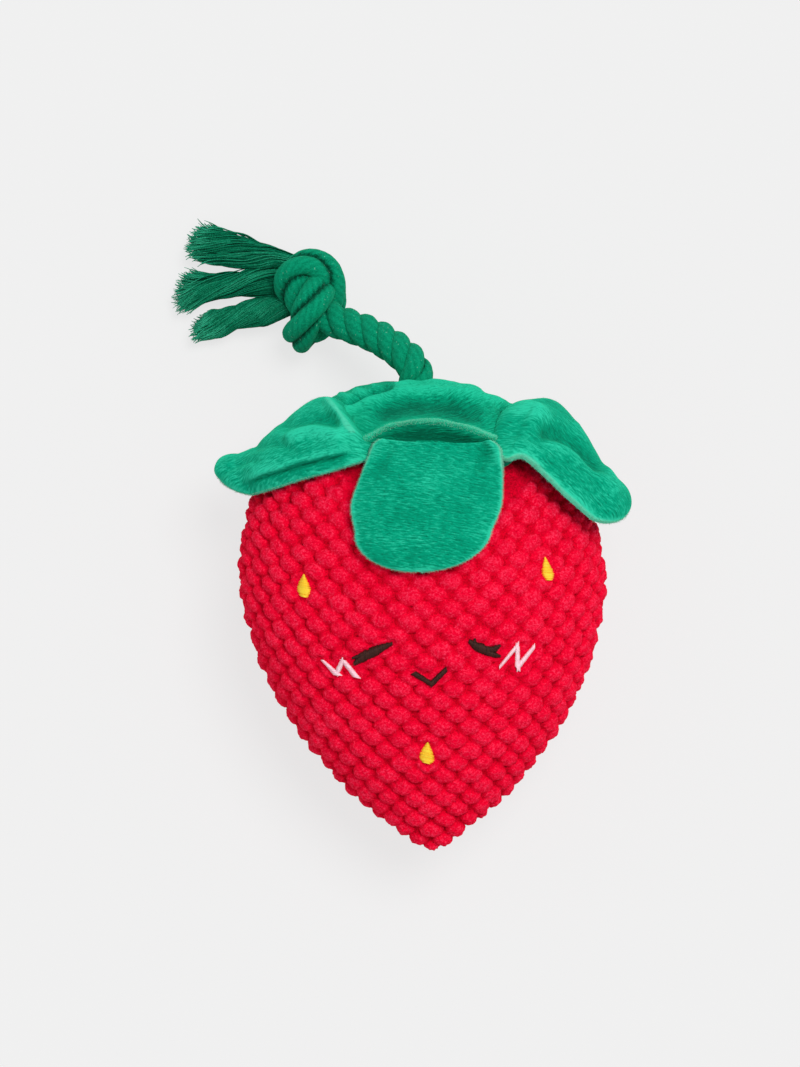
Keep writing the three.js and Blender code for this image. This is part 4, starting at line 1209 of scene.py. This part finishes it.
def mirrored(x, y, z):
    """The place of a left back leaf's point on the right one."""
    return 2 * BACK_LEAVES_MIDDLE_MM - x, y, z


BACK_LEAF = dict(thickness=0.0032, folds=[], on_table=True)
LEAVES["petal_back_left"] = dict(BACK_LEAF, left=BACK_LEAF_OUTER, right=BACK_LEAF_INNER, tip=BACK_LEAF_TIP)
LEAVES["petal_back_right"] = dict(
    BACK_LEAF, left=[mirrored(*point) for point in BACK_LEAF_INNER],
    right=[mirrored(*point) for point in BACK_LEAF_OUTER], tip=mirrored(*BACK_LEAF_TIP))

LEAF_SIDE_ROWS = 105
LEAF_TIP_ROWS = 46
LEAF_COLUMNS = 48
RIM_FIBRES = 4200
RIM_BLUNTNESS = 0.62
SHEEN_RIM_WIDTH = 0.0018
RESTING_GAP = 0.0003
MISSED_BODY = (0.0003, 0.002)
SMOOTHING_PASSES = 30
FIBRE_RISE_SHARE = 0.3
LEAF_TABLE_GAP = 0.0004
LEAF_FOLD_SHADE_HEIGHT = 0.0026
LEAF_RIPPLES = (0.007, 0.0006, 2.0)
# Shares of a leaf's length from its root, within which the root is rounded, bowed, sunk, seated and blended
ROOT_ROUND_SHARE = 0.05
ROOT_BOW_SHARES = (0, 0.25)
ROOT_SINK_SHARES = (0, 0.22)
ROOT_SEAT_SHARES = (0.02, 0.13)

# Each leaf's grid: rows along it, columns from side to side, and how full it is at its rim and at its ends
LEAF_ALONG = np.linspace(0, 1, LEAF_SIDE_ROWS + LEAF_TIP_ROWS)
LEAF_ACROSS = -np.cos(np.linspace(0, np.pi, LEAF_COLUMNS + 1))
LEAF_DOME = 1 - LEAF_ACROSS ** 2
TIP_TURNS = np.linspace(0, np.pi / 2 * 0.985, LEAF_TIP_ROWS + 1)[1:]
ROUND_TIP = np.concatenate([np.ones(LEAF_SIDE_ROWS), np.cos(TIP_TURNS)])
ROUND_ROOT = np.sqrt(np.clip(1 - np.clip(1 - LEAF_ALONG / ROOT_ROUND_SHARE, 0, 1) ** 2, 0, 1))
RIM_FULLNESS = np.sqrt(np.clip(LEAF_DOME, 0, 1)) ** RIM_BLUNTNESS
END_FULLNESS = (np.minimum(ROUND_TIP ** RIM_BLUNTNESS, 1) * np.maximum(ROUND_ROOT, 0.02))[:, None]


def in_millimetres(x, y, z):
    """The place of a point whose numbers are in millimetres."""
    return np.array([x, y, z]) / 1000


def leaf_sides(left, right, tip, place):
    """Both side lines of a leaf, closed by a round tip."""
    places = np.linspace(0, len(left) - 1, LEAF_SIDE_ROWS)
    sides = [spline([place(*point) for point in line], places) for line in (left, right)]
    turns = TIP_TURNS[:, None]
    middle = (sides[0][-1] + sides[1][-1]) / 2
    ahead = place(*tip) - middle
    rounded = [middle + (side[-1] - middle) * np.cos(turns) + ahead * np.sin(turns) for side in sides]
    return [np.concatenate(pair) for pair in zip(sides, rounded)]


def smoothed(grid, passes):
    """A grid of values, each taken many times as the mean of its four neighbours."""
    for _ in range(passes):
        wide = np.pad(grid, 1, mode="edge")
        grid = (wide[:-2, 1:-1] + wide[2:, 1:-1] + wide[1:-1, :-2] + wide[1:-1, 2:]) / 4
    return grid


def raised_to_rest(sheet, thickness):
    """How far a leaf's sheet rises at each point to lie on the bobbles instead of cutting into them."""
    resting = on_front(sheet[..., :2], BOBBLE_HEIGHT + RESTING_GAP + thickness / 2)
    missed = np.linalg.norm(resting[..., :2] - sheet[..., :2], axis=-1)
    rise = np.maximum(0, resting[..., 2] - sheet[..., 2])
    return smoothed(rise * (1 - step_between(*MISSED_BODY, missed)), SMOOTHING_PASSES)


def beside_slit(sheet, rise, drop, pixels):
    """Rise of a leaf's top along a slit between its layers, seen from above, and its painted light there.

    Below its line in the photograph the lower layer shows and drops; above it the upper layer rises."""
    line = pixel_curve(pixels, 8)
    line = line[np.argsort(line[:, 0])]
    past = np.interp(sheet[..., 0], line[:, 0], line[:, 1]) - sheet[..., 1]
    inside = step_between(0, 0.006, np.minimum(sheet[..., 0] - line[0, 0], line[-1, 0] - sheet[..., 0]))
    below = step_between(-0.0002, 0.0005, past)
    upper = peak(np.minimum(past, 0), 0, 0.005) * (1 - below)
    groove = peak(past, 0.0005, 0.0006)
    # Painted light: painted highlight along the upper layer's edge, painted shade on the lower layer and in
    # the groove
    tone = 0.6 * peak(past, -0.001, 0.0013) * (1 - below) - below * 0.45 - groove * 0.8
    return (rise * upper - drop * below - 0.4 * rise * groove) * inside, tone * inside


def rim_fibres(points, outward, sides, ahead, rng):
    """Fibres along both sides of a leaf, which lean away from its middle."""
    away = unit(sides[1] - sides[0])[:, None]
    columns = LEAF_COLUMNS
    lean = np.zeros_like(points)
    lean[:, :5] = -away
    lean[:, -4:] = -away
    lean[:, columns - 4:columns + 5] = away
    to_side = ROUND_TIP[:, None, None]
    lean = unit(lean * to_side + ahead * (1 - to_side) + 1e-9)
    rows = np.arange(6, len(points) - 1)
    rising = outward * FIBRE_RISE_SHARE
    return [fuzz_on(points, rising, rows, choice, RIM_FIBRES // 2, PILE_LENGTH, lean, rng)
            for choice in ([0, 1, 2, -1], [columns - 2, columns - 1, columns, columns + 1])]


def all_round(top, under):
    """Rings from the grids of a leaf's two faces, which share their outer columns."""
    return np.concatenate([top, under[:, -2:0:-1]], axis=1)


def near_root(start, end):
    """1 at a leaf's root, falling to 0 between two shares of its length."""
    return (1 - step_between(start, end, LEAF_ALONG))[:, None]


def leaf_sheet(sides, onward, arch, thickness, root_bow, on_table):
    """The middle sheet of a leaf between its side lines, and the ways that it faces."""
    sheet = sides[0][:, None] + (sides[1] - sides[0])[:, None] * ((LEAF_ACROSS + 1) / 2)[:, None]
    bowed = root_bow * near_root(*ROOT_BOW_SHARES) * LEAF_DOME
    sheet = sheet - onward * bowed[..., None]
    if not on_table:
        sheet[..., 2] += raised_to_rest(sheet, thickness)
    out = grid_normals(sheet, False)
    out *= np.sign(out[len(out) // 2, LEAF_COLUMNS // 2, 2])
    out[LEAF_SIDE_ROWS - 6:] = out[LEAF_SIDE_ROWS - 6]
    bow = arch * np.sin(np.minimum(1, 0.35 + 1.2 * LEAF_ALONG) * np.pi / 2) * ROUND_TIP
    return sheet + out * (bow[:, None] * LEAF_DOME)[..., None], out


def make_leaf(node, thickness, left, right, tip, folds, streak_axis=1, arch=0.0, slit=None, sink=0.0,
              seat=0.0, root_bow=0.0, painted_paleness=0.0, on_table=False):
    """A two-layer leaf between its side lines, arched away from the body, with a rounded fuzzy rim.

    sink lowers its root, seat thickens the root downwards, root_bow curves the root's edge, and the leaf can
    be painted paler all over as a painted highlight."""
    name = node.replace("petal", "leaf")
    middle_column = LEAF_COLUMNS // 2
    place = in_millimetres if on_table else seen_at
    sides = leaf_sides(left, right, tip, place)
    root_middle = (sides[0][0] + sides[1][0]) / 2
    onward = unit(place(*tip) - root_middle)
    sheet, out = leaf_sheet(sides, onward, arch, thickness, root_bow, on_table)

    half = thickness / 2 * RIM_FULLNESS * END_FULLNESS
    creases = fold_heights(sheet, folds) * RIM_FULLNESS ** 0.8 * END_FULLNESS
    ripple = lumps(sheet.reshape(-1, 3), LEAF_RIPPLES).reshape(half.shape) * RIM_FULLNESS * END_FULLNESS
    # Painted light: an all-over painted lightening, painted shade in creases and painted highlight on crests
    naps = painted_paleness + np.clip(creases / LEAF_FOLD_SHADE_HEIGHT, -1, 1) * 0.8
    sunk = sink * near_root(*ROOT_SINK_SHARES)
    seated = seat * near_root(*ROOT_SEAT_SHARES) * np.ones(LEAF_COLUMNS + 1)
    top = sheet + out * (half + creases + ripple - sunk)[..., None]
    under = sheet - out * (half - np.minimum(creases, 0) * 0.8 + sunk + seated)[..., None]
    if slit:
        rise, tone = beside_slit(top, *slit)
        rise = rise * RIM_FULLNESS ** 0.4
        top[..., 2] += rise
        under[..., 2] += np.minimum(rise, 0)
        # Painted shade in the slit and on the lower layer, painted highlight along the upper layer's edge
        naps += tone
    points = all_round(top, under)
    if on_table:
        points[..., 2] = np.maximum(points[..., 2], LEAF_TABLE_GAP)

    sideways = (sides[1] - sides[0])[len(sheet) // 3]
    sideways = unit(sideways - onward * (sideways @ onward))
    from_root = points - root_middle
    streaks = [from_root @ onward - all_round(0 * seated, seated), from_root @ sideways]
    streaks = streaks[::-1] if streak_axis == 0 else streaks
    lengths = arc_lengths(sheet[:, middle_column])
    to_side = np.abs(sides[1] - sides[0]).max(axis=1)[:, None] / 2 * (1 - np.abs(LEAF_ACROSS))
    to_rim = np.minimum(to_side, (lengths[-1] - lengths)[:, None])
    # Painted sheen: a paler band along the rim
    naps += 1.2 * (1 - step_between(0.0, SHEEN_RIM_WIDTH, to_rim)) * (0.6 if slit else 1.0)
    ahead = unit(place(*tip) - (sides[0] + sides[1])[LEAF_SIDE_ROWS - 1] / 2)
    rng = np.random.default_rng(len(node) + 31)
    rims = rim_fibres(points, all_round(out, -out), sides, ahead, rng)
    leaf = make_soft_piece(name + "_cloth", node, None, points, all_round(naps, naps), np.stack(streaks, -1),
                           rims, GREEN_PLUSH)
    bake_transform(leaf)
    return leaf


for leaf_node, leaf_shape in LEAVES.items():
    make_leaf(leaf_node, **leaf_shape)


# Embroidery

def stitch(tubes, ends, rng):
    """One thread of satin stitch from end to end, seen from above, that arches over the plush."""
    share = np.linspace(0, 1, STITCH_POINTS)[:, None]
    seen = ends[0] + (ends[1] - ends[0]) * share
    arch = PRESSED_HEIGHT - STITCH_ROOT_DEPTH + STITCH_RISE * np.sin(share[:, 0] * np.pi) ** 0.5
    tubes.add(on_front(seen, arch), np.full(STITCH_POINTS, THREAD_RADIUS), rng.uniform(0.1, 0.9))


def satin(node, material, slot, slant, strokes):
    """Satin stitch over strokes; each is a line of (pixel across, pixel down, half width in pixels)."""
    name = node + "_stitches"
    tubes = Tubes(5)
    rng = np.random.default_rng(len(name))
    for stroke in strokes:
        stroke = np.array(stroke, float)
        line = spline(stroke, np.linspace(0, len(stroke) - 1, 40)) if len(stroke) > 2 else stroke
        middle, half = on_skin(line[:, :2]), line[:, 2] * PIXEL
        lengths = arc_lengths(middle)
        count = max(3, round(lengths[-1] / STITCH_PITCH))
        for place in np.linspace(0, lengths[-1], count):
            at = np.array([np.interp(place, lengths, middle[:, axis]) for axis in range(2)])
            near = min(np.searchsorted(lengths, place), len(middle) - 1)
            run = unit(middle[near] - middle[max(near - 1, 0)] if near else middle[1] - middle[0])
            cross = np.array([-run[1], run[0]])
            cross = unit(cross * math.cos(slant) + run * math.sin(slant))
            reach = np.interp(place, lengths, half) * rng.uniform(*STITCH_REACH)
            jitter = run * rng.uniform(-0.5, 0.5) * THREAD_RADIUS
            stitch(tubes, (at - cross * reach + jitter, at + cross * reach + jitter), rng)
    return tubes.piece(name, material, "toy", (node,), slot)


# The face: each node's thread, its slot, the slant of its stitches, and its strokes, which are lines of
# (pixel across, pixel down, half width in pixels)
FACE = {
    "eye_left": (FACE_THREAD, "dark_thread", 0.35, [
        [(392, 643.5, 1.6), (383, 647.5, 4), (374, 652, 5.2), (364, 656.5, 5), (357, 661.5, 3),
         (354, 664, 1.4)],
        [(366, 652.5, 3), (359, 656, 2.4), (352.5, 658, 1)],
    ]),
    "eye_right": (FACE_THREAD, "dark_thread", -0.35, [
        [(469, 641, 1.8), (475, 645.5, 4.2), (484, 649.5, 5.2), (491, 650, 4.6), (497, 647, 2.6),
         (500, 645, 1.4)],
        [(474, 643, 2.6), (475, 638.5, 1)],
        [(486, 652, 3.6), (494, 654.5, 2.8), (500, 656, 1.2)],
    ]),
    "mouth": (FACE_THREAD, "dark_thread", 0.5, [
        [(413.5, 673, 2.8), (432.5, 684.5, 3)],
        [(430.5, 684.8, 3), (446.5, 669, 2.8)],
    ]),
    "blush_left": (BLUSH_THREAD, "pink_thread", 0.9, [
        [(322.5, 660, 1.6), (338, 675, 4.6)],
        [(337, 673, 4.2), (343, 660, 3.6)],
        [(343, 660, 3.4), (357, 677.5, 4.4)],
    ]),
    "blush_right": (BLUSH_THREAD, "pink_thread", 0.9, [
        [(499.5, 667, 2.2), (518.5, 644, 3.2)],
        [(517.5, 645, 3.2), (517.5, 668.5, 4.2)],
        [(517, 668, 4.2), (534.5, 646, 2.8)],
    ]),
}

for face_node, face_stitches in FACE.items():
    satin(face_node, *face_stitches)

# A seed's half widths along it, from the pointed top to the round bottom
SEED_SHARES = [(-1.0, 0.08), (-0.75, 0.3), (-0.4, 0.58), (0.0, 0.9), (0.35, 1.0), (0.68, 0.9), (0.93, 0.55)]


def make_seed(node, pixel_x, pixel_y, tilt, half_width, half_length):
    """A drop of satin stitch whose pointed end looks up."""
    across, down = math.sin(math.radians(tilt)), math.cos(math.radians(tilt))
    line = [
        (pixel_x - along * half_length * across, pixel_y + along * half_length * down, wide * half_width)
        for along, wide in SEED_SHARES
    ]
    satin(node, SEED_THREAD, "yellow_thread", 0.2, [line])


for seed_node, seed_place in SEED_PIXELS.items():
    make_seed(seed_node, *seed_place)


# Inside: filling, squeaker and the rope's stopper knot

FILLING_VOXEL = 0.0021
FILLING_GAP = 0.0006
FILLING_LUMPS = ((0.006, 0.0005), (0.0025, 0.0003))
ANCHOR_ROWS = 150
ANCHOR_SIDES = 72
ANCHOR_STRETCH_SHARE = 0.96
ANCHOR_GROOVE_SHARE = 0.16
ANCHOR_END_SHARE = 0.02


def make_filling(node, seed):
    """Fibre filling in the shape of a node, remeshed finely and lumpy all over."""
    source = bpy.data.objects[node]
    filling = new_object(node.replace("stuffing", "filling"), source.data.copy())
    remesh = filling.modifiers.new("remesh", "REMESH")
    remesh.mode = "VOXEL"
    remesh.voxel_size = FILLING_VOXEL
    ready = bpy.data.meshes.new_from_object(filling.evaluated_get(bpy.context.evaluated_depsgraph_get()))
    filling.modifiers.clear()
    filling.data = ready
    points = np.array([vertex.co for vertex in ready.vertices])
    normals = np.array([vertex.normal for vertex in ready.vertices])
    sunk = FILLING_GAP + lumps(points, *[(size, height, seed) for size, height in FILLING_LUMPS])
    ready.vertices.foreach_set("co", (points - normals * sunk[:, None]).astype(np.float32).ravel())
    ready.polygons.foreach_set("use_smooth", [True] * len(ready.polygons))
    ready.materials.clear()
    ready.materials.append(FILLING)
    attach(filling, "toy")
    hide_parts(node)


def make_anchor():
    """The rope's inner end: a short straight stretch and a round stopper knot with wound strands."""
    low, high = (np.array(corner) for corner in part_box("rope_anchor"))
    middle = (low + high) / 2
    knot_radius = (high[0] - low[0]) / 2
    length = high[1] - low[1]
    y = low[1] + length * np.linspace(0, 1, ANCHOR_ROWS)
    in_ball = np.clip((y - low[1]) / (2 * knot_radius), 0, 1)
    ball = knot_radius * np.sqrt(np.clip(1 - (2 * in_ball - 1) ** 2, ANCHOR_END_SHARE ** 2, 1))
    stretch = ROPE_DIAMETER / 2 * ANCHOR_STRETCH_SHARE
    radius = np.where(y > low[1] + knot_radius, np.maximum(ball, stretch), ball)
    turns = full_turn(ANCHOR_SIDES)
    wound = np.abs(np.cos(STRANDS / 2 * (turns + 2 * np.pi * (y[:, None] - low[1]) / STEM_LAY_LENGTH)))
    radii = radius[:, None] * (1 - ANCHOR_GROOVE_SHARE + ANCHOR_GROOVE_SHARE * wound ** 0.6)
    points = np.stack([middle[0] + radii * np.cos(turns), np.broadcast_to(y[:, None], radii.shape),
                       middle[2] + radii * np.sin(turns)], -1)
    faces = grid_quads(ANCHOR_ROWS, ANCHOR_SIDES).tolist() + end_caps(ANCHOR_ROWS, ANCHOR_SIDES)
    maps = tube_map(ANCHOR_ROWS, ANCHOR_SIDES, STRANDS, length / STRAND_YARN_LAY_LENGTH)
    make_piece("rope_stopper_knot", points.reshape(-1, 3), faces, ROPE_YARN, "toy", ("rope_anchor",),
               "green_rope", maps, tone=np.full(ANCHOR_ROWS * ANCHOR_SIDES, 0.5))


FILLING = fibre_fill()
make_filling("stuffing_front", 1.0)
make_filling("stuffing_back", 5.0)
make_anchor()
BULB_PLASTIC = moulded("bulb_plastic", (0.8, 0.79, 0.72), 0.45)
REED_PLASTIC = moulded("reed_plastic", (0.7, 0.67, 0.58), 0.25)
bpy.data.objects["squeaker_bulb"].material_slots[0].material = BULB_PLASTIC
bpy.data.objects["squeaker_reed"].material_slots[0].material = REED_PLASTIC


# Lights, floor and the closing lines

def seen_ray(tree):
    """1 on rays that show the background: those of the camera, and those that mirrors and glass send on."""
    path = tree.nodes.new("ShaderNodeLightPath")
    seen = path.outputs["Is Camera Ray"]
    for ray in ("Is Glossy Ray", "Is Transmission Ray"):
        either = tree.nodes.new("ShaderNodeMath")
        either.operation = "MAXIMUM"
        tree.links.new(seen, either.inputs[0])
        tree.links.new(path.outputs[ray], either.inputs[1])
        seen = either.outputs[0]
    return seen


PALE = srgb(239, 239, 239)
FLOOR_GLOW_SHARE = 0.85
SKY_STRENGTH = 0.5
SUN_STRENGTH = 2.02
SUN_ANGLE = math.radians(28)
SUN_PLACE = (0.3, 0.38, 1.0)


def make_stage():
    """A pale floor that looks the same as the background, and takes the toy's shadow."""
    bpy.ops.mesh.primitive_plane_add(size=6)
    floor = bpy.context.object
    floor.name = "floor"
    nodes = Nodes("floor", **{"Roughness": 1.0, "Specular IOR Level": 0.0})
    nodes.finish(nodes.ramp(nodes.noise(0.05), (0.0, srgb(238, 238, 238)), (1.0, srgb(240, 240, 240))))
    glow = nodes.add("ShaderNodeEmission", {"Color": (*PALE, 1), "Strength": 1.0})
    glow_share = nodes.maths("MULTIPLY", seen_ray(nodes.tree), FLOOR_GLOW_SHARE)
    inputs = {0: glow_share, 1: nodes.shader.outputs[0], 2: glow.outputs[0]}
    mixed = nodes.add("ShaderNodeMixShader", inputs)
    nodes.set(nodes.output.inputs["Surface"], mixed.outputs[0])
    floor.data.materials.append(nodes.material)


def make_lights():
    """An even sky, which looks pale where it is seen, and a wide soft sun."""
    world = bpy.data.worlds.new("studio")
    world.use_nodes = True
    background = world.node_tree.nodes["Background"]
    background.inputs["Color"].default_value = (1, 1, 1, 1)
    strength = world.node_tree.nodes.new("ShaderNodeMath")
    strength.operation = "MULTIPLY_ADD"
    world.node_tree.links.new(seen_ray(world.node_tree), strength.inputs[0])
    strength.inputs[1].default_value = PALE[0] - SKY_STRENGTH
    strength.inputs[2].default_value = SKY_STRENGTH
    world.node_tree.links.new(strength.outputs[0], background.inputs["Strength"])
    bpy.context.scene.world = world
    sun = bpy.data.lights.new("key", "SUN")
    sun.energy = SUN_STRENGTH
    sun.angle = SUN_ANGLE
    lamp = new_object("key", sun)
    lamp.rotation_euler = Vector(SUN_PLACE).to_track_quat("Z", "Y").to_euler()


make_stage()
make_lights()
bpy.context.scene.view_settings.view_transform = "Standard"
